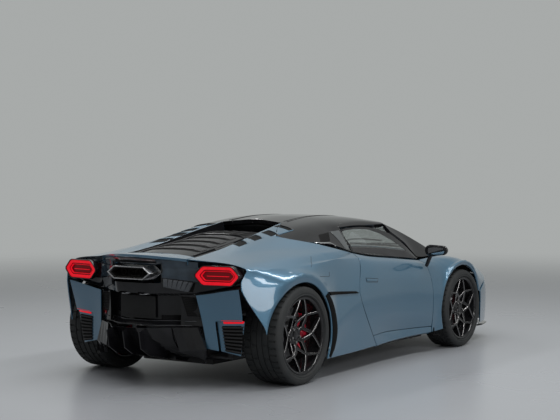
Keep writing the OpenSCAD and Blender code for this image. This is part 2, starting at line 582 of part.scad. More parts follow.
// Wheel with its brake disc, axis along Y, outboard side at +Y
module rim(r, w) {
    half = w/2 - 12;
    wall = 9;
    face_in = half - 62;
    color(gloss_black) rotate([-90, 0, 0]) {
        rotate_extrude($fn = 128) polygon([[r, -half + 8], [r + 13, -half + 8], [r + 13, -half],
            [r - wall, -half],
            [r - wall, -half + 50], [r - 24 - wall, -half + 80], [r - 24 - wall, half - 90],
                [r - wall, half - 56],
            [r - wall, half], [r + 13, half], [r + 13, half - 8], [r, half - 8], [r, half - 60],
                [r - 24, half - 94],
            [r - 24, -half + 84], [r, -half + 54]]);
        intersection() {
            rotate_extrude() polygon([[spigot_r, hub_face], [spigot_r, hub_face + 34], [72, hub_face + 38],
                [r - 60, half - 14], [r - wall + 2, half - 8], [r - wall + 2, half - 40],
                    [r - 60, face_in + 8],
                [92, hub_face]]);
            union() {
                linear_extrude(w) for (i = [0:spokes - 1]) rotate([0, 0, i*360/spokes + 90]) fork(r + 4,
                    15);
                cylinder(r = 76, h = w);
            }
        }
        difference() {
            union() {
                translate([0, 0, hub_face - 34]) cylinder(r = bell_r, h = 34);
                translate([0, 0, hub_face - 66]) cylinder(r = r - disc_clear, h = 34);
            }
            translate([0, 0, hub_face - 70]) cylinder(r = spigot_r, h = 72);
            translate([0, 0, hub_face - 67]) cylinder(r = 66, h = 54);
        }
    }
}
caliper_w = 98;
// Radius of a brake disc's bell
bell_r = 84;
// Brake caliper around the edge of the disc in a rim of radius r, ahead of the axle or behind it
module caliper(r, ahead) {
    disc_r = r - disc_clear;
    reach = 2*disc_r;
    color([0.7, 0.02, 0.03]) rotate([-90, 0, 0]) difference() {
        translate([0, 0, hub_face - 6 - caliper_w]) intersection() {
            difference() {
                cylinder(r = disc_r + 18, h = caliper_w);
                translate([0, 0, -1]) cylinder(r = disc_r - (disc_r - bell_r)*0.67, h = caliper_w + 2);
            }
            linear_extrude(caliper_w) polygon([[0, 0], [ahead*reach, -0.8*reach],
                [ahead*reach, 0.8*reach]]);
        }
        translate([0, 0, hub_face - 72]) cylinder(r = disc_r + 6, h = 46);
    }
}
module hub_carrier(r, ahead) {
    rotate([-90, 0, 0]) {
        translate([0, 0, hub_face - 84]) cylinder(r = spigot_r - running, h = 84 + 24);
        translate([0, 0, hub_face - 118]) cylinder(r = 60, h = 40);
        mirror([ahead > 0 ? 0 : 1, 0, 0]) translate([0, -40, hub_face - 118]) cube([r - disc_clear - 40,
            80, 14]);
    }
}
pivot_h = 130;
// Front upright on its kingpin, with the hub spigot and caliper
module knuckle() {
    color([0.3, 0.3, 0.32]) {
        hub_carrier(front_rim_r, -1);
        translate([0, -kingpin_in, -pivot_h]) cylinder(r = 22, h = 2*pivot_h);
        translate([0, -kingpin_in, -pivot_h - 25]) cylinder(r = 10 - running, h = 2*pivot_h + 50);
        translate([-22, -kingpin_in, -60]) cube([44, 30, 120]);
    }
    caliper(front_rim_r, -1);
}
module wheel_place(front, side) {
    left_right(side) translate([front ? front_x : rear_x, (front ? front_track : rear_track)/2,
        front ? front_tyre_r : rear_tyre_r]) children();
}
module arch_liners() {
    color(dark) both() {
        translate([front_x, 560*wide, front_tyre_r]) rotate([-90, 0, 0]) liner(front_arch_r + 12, 350*wide,
            8, 0.9);
        translate([rear_x, 640*wide, rear_tyre_r]) rotate([-90, 0, 0]) liner(rear_arch_r + 6, 270*wide, 8,
            0.62);
    }
}
// A half drum over a wheel, cut off behind at a share of its radius
module liner(r, w, t, back) {
    intersection() {
        difference() {
            cylinder(r = r + t, h = w);
            translate([0, 0, -1]) cylinder(r = r, h = w + 2);
        }
        translate([-back*r, -r - 20, 0]) cube([back*r + r + 20, r + 20 + 90, w]);
    }
}
module arm(a, b, r) {
    d = b - a;
    translate(a) rotate([0, acos(d.z/norm(d)), atan2(d.y, d.x)]) cylinder(r = r, h = norm(d), $fn = 24);
}
subframe_z = 172*tall;
module axle_arms(x, track, z, inner_y, outer_y) {
    both() for (dx = [-150, 150], up = [-1, 1])
        arm([x + dx, inner_y, z + up*(pivot_h + 14)], [x + sign(dx)*10, outer_y - 24,
            z + up*(pivot_h + 14)], 11);
    both() arm([x + 40, inner_y + 10, z - 100], [x + 40, inner_y + 50, z + 230], 30);
    translate([x - 190, -inner_y - 12, subframe_z]) cube([380, 2*inner_y + 24, 16]);
    both() translate([x - 190, inner_y - 30, subframe_z]) cube([380, 42, z + 170 - subframe_z]);
}
module front_suspension() {
    pivot_y = front_track/2 - kingpin_in;
    color(dark) {
        axle_arms(front_x, front_track, front_tyre_r, 430*wide, pivot_y);
        both() for (up = [-1, 1]) difference() {
            translate([front_x, pivot_y, front_tyre_r + up*(pivot_h + 14) - 10]) cylinder(r = 28, h = 20);
            translate([front_x, pivot_y, front_tyre_r + up*(pivot_h + 14) - 11]) cylinder(r = 10, h = 22);
        }
    }
}
module rear_suspension() {
    outer_y = rear_track/2 + hub_face - 112;
    color(dark) {
        axle_arms(rear_x, rear_track, rear_tyre_r, 470*wide, outer_y);
        for (s = [1, -1]) wheel_place(false, s) {
            hub_carrier(rear_rim_r, 1);
            translate([-30, hub_face - 140, -pivot_h - 30]) cube([60, 50, 2*pivot_h + 60]);
        }
        both() arm([rear_x, 275*wide, rear_tyre_r], [rear_x, outer_y, rear_tyre_r], 18);
    }
}
module rear_calipers() { for (s = [1, -1]) wheel_place(false, s) caliper(rear_rim_r, 1); }
module door_mirror(side) {
    color(gloss_black) left_right(side) {
        head = at(590, 1030, 888);
        translate(head) hull() {
            translate([40, -62, 0]) scale([1, 1, 0.8]) sphere(34, $fn = 24);
            translate([45, 50, 2]) sphere(26, $fn = 24);
            translate([0, -66, 0]) rotate([0, -90, 0]) cylinder(r = 46, h = 6, $fn = 24);
            translate([0, 60, 4]) rotate([0, -90, 0]) cylinder(r = 36, h = 6, $fn = 24);
        }
        hull() {
            translate(head + [10, -60, -30]) sphere(13, $fn = 16);
            translate(at(600, 926, 760)) sphere(12, $fn = 16);
        }
    }
}

tub();
engine();
front_bumper();
front_splitter();
headlamps();
front_fender(1);  // front_fender_left
front_fender(-1);  // front_fender_right
windshield();  // windscreen
roof();
rear_fender(1);  // rear_fender_left
rear_fender(-1);  // rear_fender_right
tail_panel();
rear_fascia();
exhaust_outlet();
tail_lamps();
plate_holder();
rear_bumper();
diffuser();
side_sills();
rear_window();
seats();
dashboard();
arch_liners();
front_suspension();
rear_suspension();
rear_calipers();
bonnet();
engine_cover();
door(1);  // door_left
door(-1);  // door_right
door_glass(1);  // door_glass_left
door_glass(-1);  // door_glass_right
door_mirror(1);  // mirror_left
door_mirror(-1);  // mirror_right
wheel_place(true, 1) knuckle();  // knuckle_left
wheel_place(true, -1) knuckle();  // knuckle_right
steering_wheel();
wheel_place(true, 1) tyre(front_tyre_r, front_tyre_w, front_rim_r);  // tyre_front_left
wheel_place(true, -1) tyre(front_tyre_r, front_tyre_w, front_rim_r);  // tyre_front_right
wheel_place(false, 1) tyre(rear_tyre_r, rear_tyre_w, rear_rim_r);  // tyre_rear_left
wheel_place(false, -1) tyre(rear_tyre_r, rear_tyre_w, rear_rim_r);  // tyre_rear_right
wheel_place(true, 1) rim(front_rim_r, front_tyre_w);  // rim_front_left
wheel_place(true, -1) rim(front_rim_r, front_tyre_w);  // rim_front_right
wheel_place(false, 1) rim(rear_rim_r, rear_tyre_w);  // rim_rear_left
wheel_place(false, -1) rim(rear_rim_r, rear_tyre_w);  // rim_rear_right
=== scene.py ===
from math import atan2, cos, exp, hypot, pi, radians, sin

import bpy
from mathutils import Matrix, Vector
from mathutils.bvhtree import BVHTree


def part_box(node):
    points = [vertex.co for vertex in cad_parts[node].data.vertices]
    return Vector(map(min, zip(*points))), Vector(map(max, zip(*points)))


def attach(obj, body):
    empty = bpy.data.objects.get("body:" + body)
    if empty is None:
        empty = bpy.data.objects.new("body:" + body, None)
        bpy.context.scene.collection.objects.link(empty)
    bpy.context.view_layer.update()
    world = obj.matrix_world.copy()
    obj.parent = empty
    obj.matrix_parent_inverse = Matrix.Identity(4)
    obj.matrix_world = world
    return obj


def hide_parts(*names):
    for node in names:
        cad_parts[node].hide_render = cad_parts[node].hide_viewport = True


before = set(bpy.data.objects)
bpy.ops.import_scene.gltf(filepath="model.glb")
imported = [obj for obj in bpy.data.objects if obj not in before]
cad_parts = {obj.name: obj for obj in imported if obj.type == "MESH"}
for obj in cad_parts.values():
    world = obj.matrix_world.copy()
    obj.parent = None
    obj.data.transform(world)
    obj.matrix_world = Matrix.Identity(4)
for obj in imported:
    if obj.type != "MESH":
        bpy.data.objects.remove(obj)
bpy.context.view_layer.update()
print("frame loaded:", len(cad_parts), "nodes")

# Handling


def only(*objs):
    if bpy.context.mode != "OBJECT":
        bpy.ops.object.mode_set(mode="OBJECT")
    bpy.ops.object.select_all(action="DESELECT")
    for o in objs:
        o.select_set(True)
    bpy.context.view_layer.objects.active = objs[0]


def applyPlace(obj):
    only(obj)
    bpy.ops.object.transform_apply(location=True, rotation=True, scale=True)
    return obj


def pickFaces(obj, test):  # selects the faces whose middle passes a test, and goes on in edit mode
    only(obj)
    bpy.ops.object.mode_set(mode="EDIT")
    bpy.ops.mesh.select_mode(type="FACE")
    bpy.ops.mesh.select_all(action="DESELECT")
    bpy.ops.object.mode_set(mode="OBJECT")
    for f in obj.data.polygons:
        f.select = test(f.center)
    bpy.ops.object.mode_set(mode="EDIT")


def doneEditing(obj, outward=False):
    if bpy.context.mode != "EDIT_MESH":
        only(obj)
        bpy.ops.object.mode_set(mode="EDIT")
    if outward:
        bpy.ops.mesh.select_all(action="SELECT")
        bpy.ops.mesh.remove_doubles(threshold=0.00001)
        bpy.ops.mesh.normals_make_consistent(inside=False)
    bpy.ops.object.mode_set(mode="OBJECT")
    return obj


def thicken(obj, move):  # gives the new flat shape or skin a thickness
    bpy.ops.object.mode_set(mode="EDIT")
    bpy.ops.mesh.select_all(action="SELECT")
    bpy.ops.mesh.extrude_region_move(TRANSFORM_OT_translate={"value": tuple(move)})
    return doneEditing(obj, outward=True)


def modify(obj, kind, **settings):
    only(obj)
    m = obj.modifiers.new(kind.lower(), kind)
    for key, value in settings.items():
        setattr(m, key, value)
    bpy.ops.object.modifier_apply(modifier=m.name)
    return obj


def dress(obj, material):
    obj.data.materials.clear()
    obj.data.materials.append(material)
    return obj


def softEdges(obj, width, segments=2, angle=30):
    return modify(obj, "BEVEL", width=width, segments=segments, limit_method="ANGLE",
                  angle_limit=radians(angle), use_clamp_overlap=True)


def smooth(obj, angle=35):
    only(obj)
    bpy.ops.object.shade_smooth_by_angle(angle=radians(angle))
    return obj


def merge(name, objs):
    only(*objs)
    if len(objs) > 1:
        bpy.ops.object.join()
    obj = bpy.context.view_layer.objects.active
    obj.name = obj.data.name = name
    return obj


def twin(obj, name, matrix):  # a copy with its own mesh, moved by a matrix
    copy = obj.copy()
    copy.data = obj.data.copy()
    copy.name = copy.data.name = name
    bpy.context.scene.collection.objects.link(copy)
    copy.data.transform(matrix)
    if matrix.determinant() < 0:
        copy.data.flip_normals()
    return copy


acrossCar = Matrix.Scale(-1, 4, Vector((0, 1, 0)))
forward, inward, down = (1, 0, 0), (0, -1, 0), (0, 0, -1)
doors = ("left_door", "right_door")


def spaced(low, high, steps):
    return [low + (high - low) * i / steps for i in range(steps + 1)]


def finished(obj, body, material=None, replaces=()):
    if material is not None:
        dress(obj, material)
    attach(obj, body)
    if replaces:
        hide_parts(*replaces)
    return obj


def paired(left, bodies=("body", "body"), material=None, replaces=((), ())):
    # a left piece and its mirror image
    right = twin(left, left.name.replace("left", "right"), acrossCar)
    for obj, body, nodes in zip((left, right), bodies, replaces):
        finished(obj, body, material, nodes)


def outline(name, points, depth, z=0.0):  # a closed flat outline in X and Y, extruded along Z
    bpy.ops.mesh.primitive_circle_add(vertices=len(points), radius=1, fill_type="NGON")
    obj = bpy.context.object
    obj.name = obj.data.name = name
    for v, p in zip(obj.data.vertices, points):
        v.co = (p[0], p[1], z)
    return thicken(obj, (0, 0, depth))


def skinOf(name, rows):  # an open skin through rows of points
    bpy.ops.mesh.primitive_grid_add(x_subdivisions=len(rows[0]) - 1, y_subdivisions=len(rows) - 1, size=1)
    obj = bpy.context.object
    obj.name = obj.data.name = name
    for v, p in zip(obj.data.vertices, [p for r in rows for p in r]):
        v.co = p
    return obj


def bar(name, low, high):
    middle = [(a + b) / 2 for a, b in zip(low, high)]
    bpy.ops.mesh.primitive_cube_add(size=1, location=middle, scale=[b - a for a, b in zip(low, high)])
    obj = bpy.context.object
    obj.name = obj.data.name = name
    return applyPlace(obj)


def rod(name, points, radius, closed=False, sides=8):
    curve = bpy.data.curves.new(name, "CURVE")
    curve.dimensions = "3D"
    curve.bevel_depth = radius
    curve.bevel_resolution = max(1, sides // 4)
    curve.use_fill_caps = not closed
    line = curve.splines.new("POLY")
    line.points.add(len(points) - 1)
    for p, q in zip(line.points, points):
        p.co = (*q, 1)
    line.use_cyclic_u = closed
    obj = bpy.data.objects.new(name, curve)
    bpy.context.scene.collection.objects.link(obj)
    only(obj)
    bpy.ops.object.convert(target="MESH")
    obj = bpy.context.object
    doneEditing(obj, outward=True)
    return smooth(obj, 50)


def turned(name, profile, steps, centre=(0, 0, 0)):  # a closed profile (along Y, radius) spun about the Y axis
    bpy.ops.mesh.primitive_circle_add(vertices=len(profile), radius=1, fill_type="NOTHING")
    obj = bpy.context.object
    obj.name = obj.data.name = name
    for v, p in zip(obj.data.vertices, profile):
        v.co = (centre[0], centre[1] + p[0], centre[2] + p[1])
    bpy.ops.object.mode_set(mode="EDIT")
    bpy.ops.mesh.select_all(action="SELECT")
    bpy.ops.mesh.spin(steps=steps, angle=2 * pi, center=centre, axis=(0, 1, 0))
    return doneEditing(obj, outward=True)


# Stage and camera

stage = {
    "cameraPlace": (-10.3497, -6.6365, 1.6474), "cameraTurn": (1.537108, 0, -0.987857), "lens": 92.1,
    "floorColour": (0.31, 0.325, 0.345), "backdrop": (0.39, 0.405, 0.40), "skyLight": 0.26,
    "floorSize": 120, "fadeFrom": 6.0, "fadeTo": 15.0,
}

camera = bpy.data.objects.new("camera", bpy.data.cameras.new("camera"))
bpy.context.scene.collection.objects.link(camera)
camera.location = stage["cameraPlace"]
camera.rotation_euler = stage["cameraTurn"]
camera.data.lens = stage["lens"]
camera.data.sensor_width = 36
camera.data.clip_end = 400
bpy.context.scene.camera = camera
bpy.context.scene.view_settings.view_transform = "Standard"


def softbox(name, place, aim, size, power):
    lamp = bpy.data.lights.new(name, "AREA")
    lamp.shape = "RECTANGLE"
    lamp.size, lamp.size_y = size
    lamp.energy = power
    obj = bpy.data.objects.new(name, lamp)
    bpy.context.scene.collection.objects.link(obj)
    obj.location = place
    obj.rotation_euler = (Vector(aim) - Vector(place)).to_track_quat("-Z", "Y").to_euler()
    obj.visible_camera = False


softbox("top_softbox", (-0.5, 0, 6.5), (-0.5, 0, 0), (9, 2.6), 210)
softbox("strip_right", (-0.8, -3.4, 5.0), (-0.6, 0, 0.4), (8, 0.45), 190)
softbox("strip_left", (-0.8, 3.4, 5.0), (-0.6, 0, 0.4), (8, 0.45), 130)
softbox("side_softbox", (-3, -8.5, 3.6), (0, 0, 0.5), (7, 0.9), 200)
softbox("window_softbox", (-1.5, -7.9, 1.15), (-1.9, -0.9, 0.6), (1.35, 1.2), 26)


# Finishes


socketNames = {
    "coat": "Coat Weight", "coatRough": "Coat Roughness", "sheen": "Sheen Weight", "clear": "Transmission Weight",
    "ior": "IOR", "specular": "Specular IOR Level", "glow": "Emission Strength", "glowColour": "Emission Color",
}


def finish(name, colour, roughness=0.5, metallic=0.0, **sockets):
    mat = bpy.data.materials.new(name)
    mat.use_nodes = True
    mat.diffuse_color = (*colour, 1)
    shader = mat.node_tree.nodes["Principled BSDF"]
    shader.inputs["Base Color"].default_value = (*colour, 1)
    shader.inputs["Roughness"].default_value = roughness
    shader.inputs["Metallic"].default_value = metallic
    for key, value in sockets.items():
        shader.inputs[socketNames[key]].default_value = value
    return mat


def newNode(tree, kind, values=None, **settings):
    made = tree.nodes.new("ShaderNode" + kind)
    for key, value in settings.items():
        setattr(made, key, value)
    for key, value in (values or {}).items():
        made.inputs[key].default_value = value
    return made


def linked(tree, *pairs):
    for start, end in pairs:
        tree.links.new(start, end)


noise, cells, waves = "TexNoise", "TexVoronoi", "TexWave"


def patterned(mat, kind, scale, tones=None, dull=None, bump=None, stretch=(1, 1, 1), **settings):
    tree = mat.node_tree
    shader = tree.nodes["Principled BSDF"]
    values = {key.capitalize(): settings.pop(key) for key in ("detail", "distortion") if key in settings}
    place = newNode(tree, "TexCoord")
    mapping = newNode(tree, "Mapping", {"Scale": stretch})
    tex = newNode(tree, kind, {"Scale": scale, **values}, **settings)
    amount = tex.outputs["Distance" if kind == cells else "Fac"]
    linked(tree, (place.outputs["Object"], mapping.inputs["Vector"]), (mapping.outputs["Vector"],
                                                                       tex.inputs["Vector"]))
    if tones:  # dark, light and, if given, where the ramp starts and ends
        ramp = newNode(tree, "ValToRGB")
        for end, colour, spot in zip(ramp.color_ramp.elements, tones, tones[2:] or (0.3, 0.7)):
            end.position, end.color = spot, (*colour, 1)
        linked(tree, (amount, ramp.inputs["Fac"]), (ramp.outputs["Color"], shader.inputs["Base Color"]))
    if dull:  # least and most roughness
        spread = newNode(tree, "MapRange", {"To Min": dull[0], "To Max": dull[1]})
        linked(tree, (amount, spread.inputs["Value"]), (spread.outputs["Result"], shader.inputs["Roughness"]))
    if bump:  # strength and depth
        raised = newNode(tree, "Bump", {"Strength": bump[0], "Distance": bump[1]})
        linked(tree, (amount, raised.inputs["Height"]), (raised.outputs["Normal"], shader.inputs["Normal"]))
    return mat


def scaled(colour, by):
    return tuple(c * by for c in colour)


def glossBlack(name="gloss_black", colour=(0.006, 0.006, 0.007)):
    mat = finish(name, colour, 0.06, specular=0.34)
    return patterned(mat, noise, 14, (scaled(colour, 0.8), scaled(colour, 1.3)), (0.04, 0.11), detail=4)


def grainedPlastic(name="grained_black", colour=(0.018, 0.018, 0.019)):
    mat = finish(name, colour, 0.6, specular=0.3)
    patterned(mat, cells, 700, bump=(0.35, 0.0004))
    return patterned(mat, noise, 9, (scaled(colour, 0.75), scaled(colour, 1.35)), (0.5, 0.72), detail=5)


def tintedGlass(name, colour):
    mat = finish(name, colour, 0.0, clear=1.0, ior=1.45)
    return patterned(mat, noise, 3.5, dull=(0.0, 0.02), bump=(0.008, 0.001), detail=1)


paint = finish("grey_blue_paint", (0.052, 0.138, 0.215), 0.34, 0.5, coat=1.0, coatRough=0.03)
patterned(paint, cells, 1400, ((0.060, 0.158, 0.246), (0.042, 0.115, 0.182), 0.1, 0.75), bump=(0.05, 0.0002))
patterned(paint, noise, 2.2, dull=(0.30, 0.38), detail=2)
pianoBlack = glossBlack()
grained = grainedPlastic()
print("finishes made")

# Body panels: each CAD skin, merged, rounded and smoothed

panels = {  # node: (piece, body, slot, edge radius)
    "front_bumper": ("nose_skin", "body", "paint", 0.0025),
    "front_fender_left": ("front_wing_left", "body", "paint", 0.0022),
    "front_fender_right": ("front_wing_right", "body", "paint", 0.0022),
    "rear_fender_left": ("rear_quarter_left", "body", "paint", 0.0022),
    "rear_fender_right": ("rear_quarter_right", "body", "paint", 0.0022),
    "tail_panel": ("tail_deck", "body", "paint", 0.0022),
    "side_sills": ("sill_skins", "body", "paint", 0.003),
    "bonnet": ("bonnet_skin", "front_lid", "paint", 0.0025),
    "door_left": ("door_skin_left", "left_door", "paint", 0.003),
    "door_right": ("door_skin_right", "right_door", "paint", 0.003),
    "rear_bumper": ("bumper_corners", "body", "paint", 0.004),
    "roof": ("roof_skin", "body", "trim_black", 0.004),
}


def smoothed(node, piece, edgeRadius, levels=2, keepAngle=16):
    obj = bpy.data.objects.new(piece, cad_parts[node].data.copy())
    obj.data.name = piece
    bpy.context.scene.collection.objects.link(obj)
    only(obj)
    bpy.ops.mesh.customdata_custom_splitnormals_clear()
    bpy.ops.object.mode_set(mode="EDIT")
    bpy.ops.mesh.select_all(action="SELECT")
    bpy.ops.mesh.remove_doubles(threshold=0.00005)
    bpy.ops.mesh.tris_convert_to_quads(face_threshold=radians(60), shape_threshold=radians(70))
    bpy.ops.object.mode_set(mode="OBJECT")
    softEdges(obj, edgeRadius, 2, 38)
    only(obj)
    bpy.ops.object.mode_set(mode="EDIT")
    bpy.ops.mesh.select_mode(type="EDGE")
    bpy.ops.mesh.select_all(action="DESELECT")
    bpy.ops.mesh.edges_select_sharp(sharpness=radians(keepAngle))
    bpy.ops.transform.edge_crease(value=0.75)
    bpy.ops.object.mode_set(mode="OBJECT")
    modify(obj, "SUBSURF", levels=levels, render_levels=levels)
    bpy.ops.object.shade_smooth()
    return obj


for node, (piece, body, slot, edgeRadius) in panels.items():
    skin = smoothed(node, piece, edgeRadius)
    finished(skin, body, paint if slot == "paint" else pianoBlack, [node])
    print("panel", piece, len(skin.data.polygons), "faces")

clearGlass = tintedGlass("side_glass", (0.80, 0.84, 0.83))
screenTint = tintedGlass("screen_glass", (0.62, 0.66, 0.65))
panes = {  # node: (piece, body, finish)
    "windscreen": ("screen_pane", "body", screenTint),
    "door_glass_left": ("door_pane_left", "left_door", clearGlass),
    "door_glass_right": ("door_pane_right", "right_door", clearGlass),
}
for node, (piece, body, mat) in panes.items():
    finished(smoothed(node, piece, 0.001, 2, 30), body, mat, [node])

# Wheels

rubber = finish("tyre_rubber", (0.016, 0.018, 0.019), 0.66, specular=0.34)
patterned(rubber, noise, 320, bump=(0.25, 0.0005), detail=4)
patterned(rubber, noise, 11, tones=((0.013, 0.015, 0.016), (0.024, 0.025, 0.025)), dull=(0.62, 0.82), detail=5)
wheelBlack = glossBlack("wheel_black", (0.008, 0.008, 0.009))
machined = finish("machined_edge", (0.26, 0.25, 0.25), 0.26, 1.0)
patterned(machined, waves, 300, tones=((0.20, 0.195, 0.195), (0.31, 0.30, 0.30)), dull=(0.22, 0.38), distortion=0.5)
discGrey = finish("disc_grey", (0.17, 0.17, 0.175), 0.36, 0.9)
patterned(discGrey, noise, 60, tones=((0.12, 0.12, 0.125), (0.2, 0.2, 0.205)), dull=(0.3, 0.45), stretch=(1, 6, 1),
          detail=3)
caliperRed = finish("caliper_red", (0.66, 0.014, 0.040), 0.25, coat=1.0, coatRough=0.04)
patterned(caliperRed, noise, 45, tones=((0.58, 0.010, 0.032), (0.72, 0.018, 0.050)), dull=(0.2, 0.32), detail=3)

wheels = {
    "flange": 0.013, "barrelWall": 0.009, "dropCentre": 0.033, "spokes": 6, "spokeWidth": 0.017, "spokeDepth": 0.034,
    "edge": 0.0021, "innerNode": 0.34, "midNode": 0.62, "midTurn": 29, "rimTurn": 6, "grooveDepth": 0.0075,
    "grooveWidth": 0.010, "treadSteps": 132, "rimInset": 0.012, "hubFace": 0.036, "discClear": 0.062, "discHoles": 14,
}


def around(centre, angle):  # a turn about a wheel's own axle
    place = Matrix.Translation(centre)
    return place @ Matrix.Rotation(angle, 4, "Y") @ place.inverted()


def axleOf(node):
    low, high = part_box(node)
    return (low + high) / 2, (high.z - low.z) / 2, high.y - low.y


def tyre(name, centre, radius, width, bead):
    half = width / 2
    side = [(half - 0.0205, bead), (half - 0.0205, bead + 0.014), (half - 0.0085, bead + 0.020),
            (half - 0.003, bead + 0.024), (half - 0.0015, bead + 0.028), (half - 0.004, bead + 0.032)]
    wall = radius - bead
    side += [(half - 0.0025, bead + wall * 0.45), (half - 0.0005, bead + wall * 0.52),
             (half - 0.002, bead + wall * 0.6)]
    crown = 0.03
    side += [(half - 0.003 - crown + crown * cos(radians(a)), radius - crown + crown * sin(radians(a)))
             for a in (12, 30, 50, 70, 88)]
    gw, gd = wheels["grooveWidth"] / 2, wheels["grooveDepth"]
    tread = []
    for g in (0.235 * width, 0.075 * width, -0.075 * width, -0.235 * width):
        tread += [(g + gw, radius), (g + gw * 0.7, radius - gd), (g - gw * 0.7, radius - gd), (g - gw, radius)]
    profile = side + tread + [(-y, r) for y, r in reversed(side)]
    obj = turned(name, profile, wheels["treadSteps"], centre)
    step = 2 * pi / wheels["treadSteps"]

    def onBlock(middle):
        dx, dz = middle.x - centre.x, middle.z - centre.z
        turn = int((atan2(dz, dx) % (2 * pi)) / step)
        y = abs(middle.y - centre.y)
        outer = 0.25 * width < y < half - 0.025
        inner = 0.09 * width < y < 0.22 * width
        return hypot(dx, dz) > radius - 0.006 and bool((outer and turn % 3 == 0) or (inner and turn % 6 == 2))

    pickFaces(obj, onBlock)
    bpy.ops.mesh.inset(thickness=0.0022, depth=-0.0055, use_individual=True)
    doneEditing(obj)
    return smooth(obj, 28)


def barrel(name, centre, rimRadius, width):
    half = width / 2 - wheels["rimInset"]
    wall, drop, flange = wheels["barrelWall"], wheels["dropCentre"], wheels["flange"]
    r = rimRadius
    profile = [
        (half, r + flange), (half - 0.006, r + flange), (half - 0.008, r), (half - 0.06, r - 0.001),
        (half - 0.094, r - 0.024), (0.084 - half, r - 0.024), (0.054 - half, r), (0.008 - half, r),
        (0.008 - half, r + flange), (-half, r + flange), (-half, r - wall), (0.05 - half, r - wall),
        (0.08 - half, r - drop), (half - 0.1, r - drop), (half - 0.055, r - wall - 0.004), (half - 0.012, r - wall),
        (half - 0.003, r - 0.003), (half, r + 0.004)]
    obj = turned(name, profile, 96, centre)
    softEdges(obj, 0.0016, 2, 28)
    return smooth(dress(obj, wheelBlack), 30)


def dish(reach, half):  # how far outboard the spokes' faces lie at a share of the rim's radius
    near, far = wheels["hubFace"] + 0.040, half - 0.008
    share = min(1, max(0, (reach - 0.24) / 0.72))
    return near + (far - near) * (1 - (1 - share) ** 1.8)


def spokeStrip(name, centre, rimRadius, half, path, widths):
    # a bar that follows points given as (share of radius, degrees)
    flat = [(s * rimRadius * sin(radians(a)), s * rimRadius * cos(radians(a))) for s, a in path]
    rows = [[], []]
    fine = []
    for i in range(len(flat) - 1):
        for t in (0, 0.34, 0.67):
            fine.append((Vector(flat[i]).lerp(Vector(flat[i + 1]), t), widths[i] + (widths[i + 1] - widths[i]) * t))
    fine.append((Vector(flat[-1]), widths[-1]))
    for i, (p, w) in enumerate(fine):
        a, b = fine[max(i - 1, 0)][0], fine[min(i + 1, len(fine) - 1)][0]
        along = (b - a).normalized()
        ahead = (fine[min(i + 1, len(fine) - 1)][0] - p)
        stretch = 1.0
        if 0 < i < len(fine) - 1:
            stretch = 1 / max(0.6, along.dot(ahead.normalized()))
        across = Vector((-along.y, along.x)) * w / 2 * stretch
        for row, q in ((rows[0], p + across), (rows[1], p - across)):
            y = dish(q.length / rimRadius, half)
            row.append((centre.x + q.x, centre.y + y, centre.z + q.y))
    obj = skinOf(name, rows)
    thicken(obj, (0, -wheels["spokeDepth"], 0))
    obj.data.materials.append(wheelBlack)
    obj.data.materials.append(machined)
    return modify(obj, "BEVEL", width=wheels["edge"], segments=1, material=1, limit_method="ANGLE",
                  angle_limit=radians(50))


def wheelFace(name, centre, rimRadius, width):
    half = width / 2 - wheels["rimInset"]
    w = wheels["spokeWidth"]
    inner, mid, turn, end = wheels["innerNode"], wheels["midNode"], wheels["midTurn"], wheels["rimTurn"]
    fork = spokeStrip(name + "_fork", centre, rimRadius, half,
                      [(0.975, -end), (mid, -turn), (inner, 0), (mid, turn), (0.975, end)],
                      [w * 0.9, w, w * 1.5, w, w * 0.9])
    stem = spokeStrip(name + "_stem", centre, rimRadius, half, [(0.2, 0), (inner + 0.03, 0)], [w * 1.9, w * 1.6])
    parts = []
    for i in range(wheels["spokes"]):
        matrix = around(centre, 2 * pi * i / wheels["spokes"])
        parts += [twin(fork, "fork_copy", matrix), twin(stem, "stem_copy", matrix)]
    bpy.data.objects.remove(fork)
    bpy.data.objects.remove(stem)
    face = merge(name, parts)
    return smooth(face, 25)


def hub(name, centre):
    near = wheels["hubFace"]
    profile = [(near, 0.034), (near + 0.040, 0.034), (near + 0.044, 0.046), (near + 0.044, 0.060),
               (near + 0.040, 0.070),
               (near + 0.028, 0.078), (near + 0.004, 0.082), (near, 0.078)]
    obj = turned(name, profile, 64, centre)
    softEdges(obj, 0.0015, 2, 30)
    cap = turned(name + "_cap", [(near + 0.020, 0.001), (near + 0.050, 0.001), (near + 0.050, 0.020),
                                 (near + 0.047, 0.030),
                                 (near + 0.040, 0.0335), (near + 0.020, 0.0335)], 48, centre)
    nuts = []
    for i in range(5):
        bpy.ops.mesh.primitive_cylinder_add(vertices=6, radius=0.0105, depth=0.022, rotation=(pi / 2, 0, 0),
                                            location=(centre.x, centre.y + near + 0.045, centre.z + 0.053))
        nut = applyPlace(bpy.context.object)
        softEdges(nut, 0.0015, 2, 40)
        nut.data.transform(around(centre, 2 * pi * (i + 0.5) / 5))
        nuts.append(nut)
    body = merge(name, [obj, cap])
    body.data.materials.append(wheelBlack)
    lugs = merge(name + "_nuts", nuts)
    lugs.data.materials.append(machined)
    return smooth(merge(name, [body, lugs]), 30)


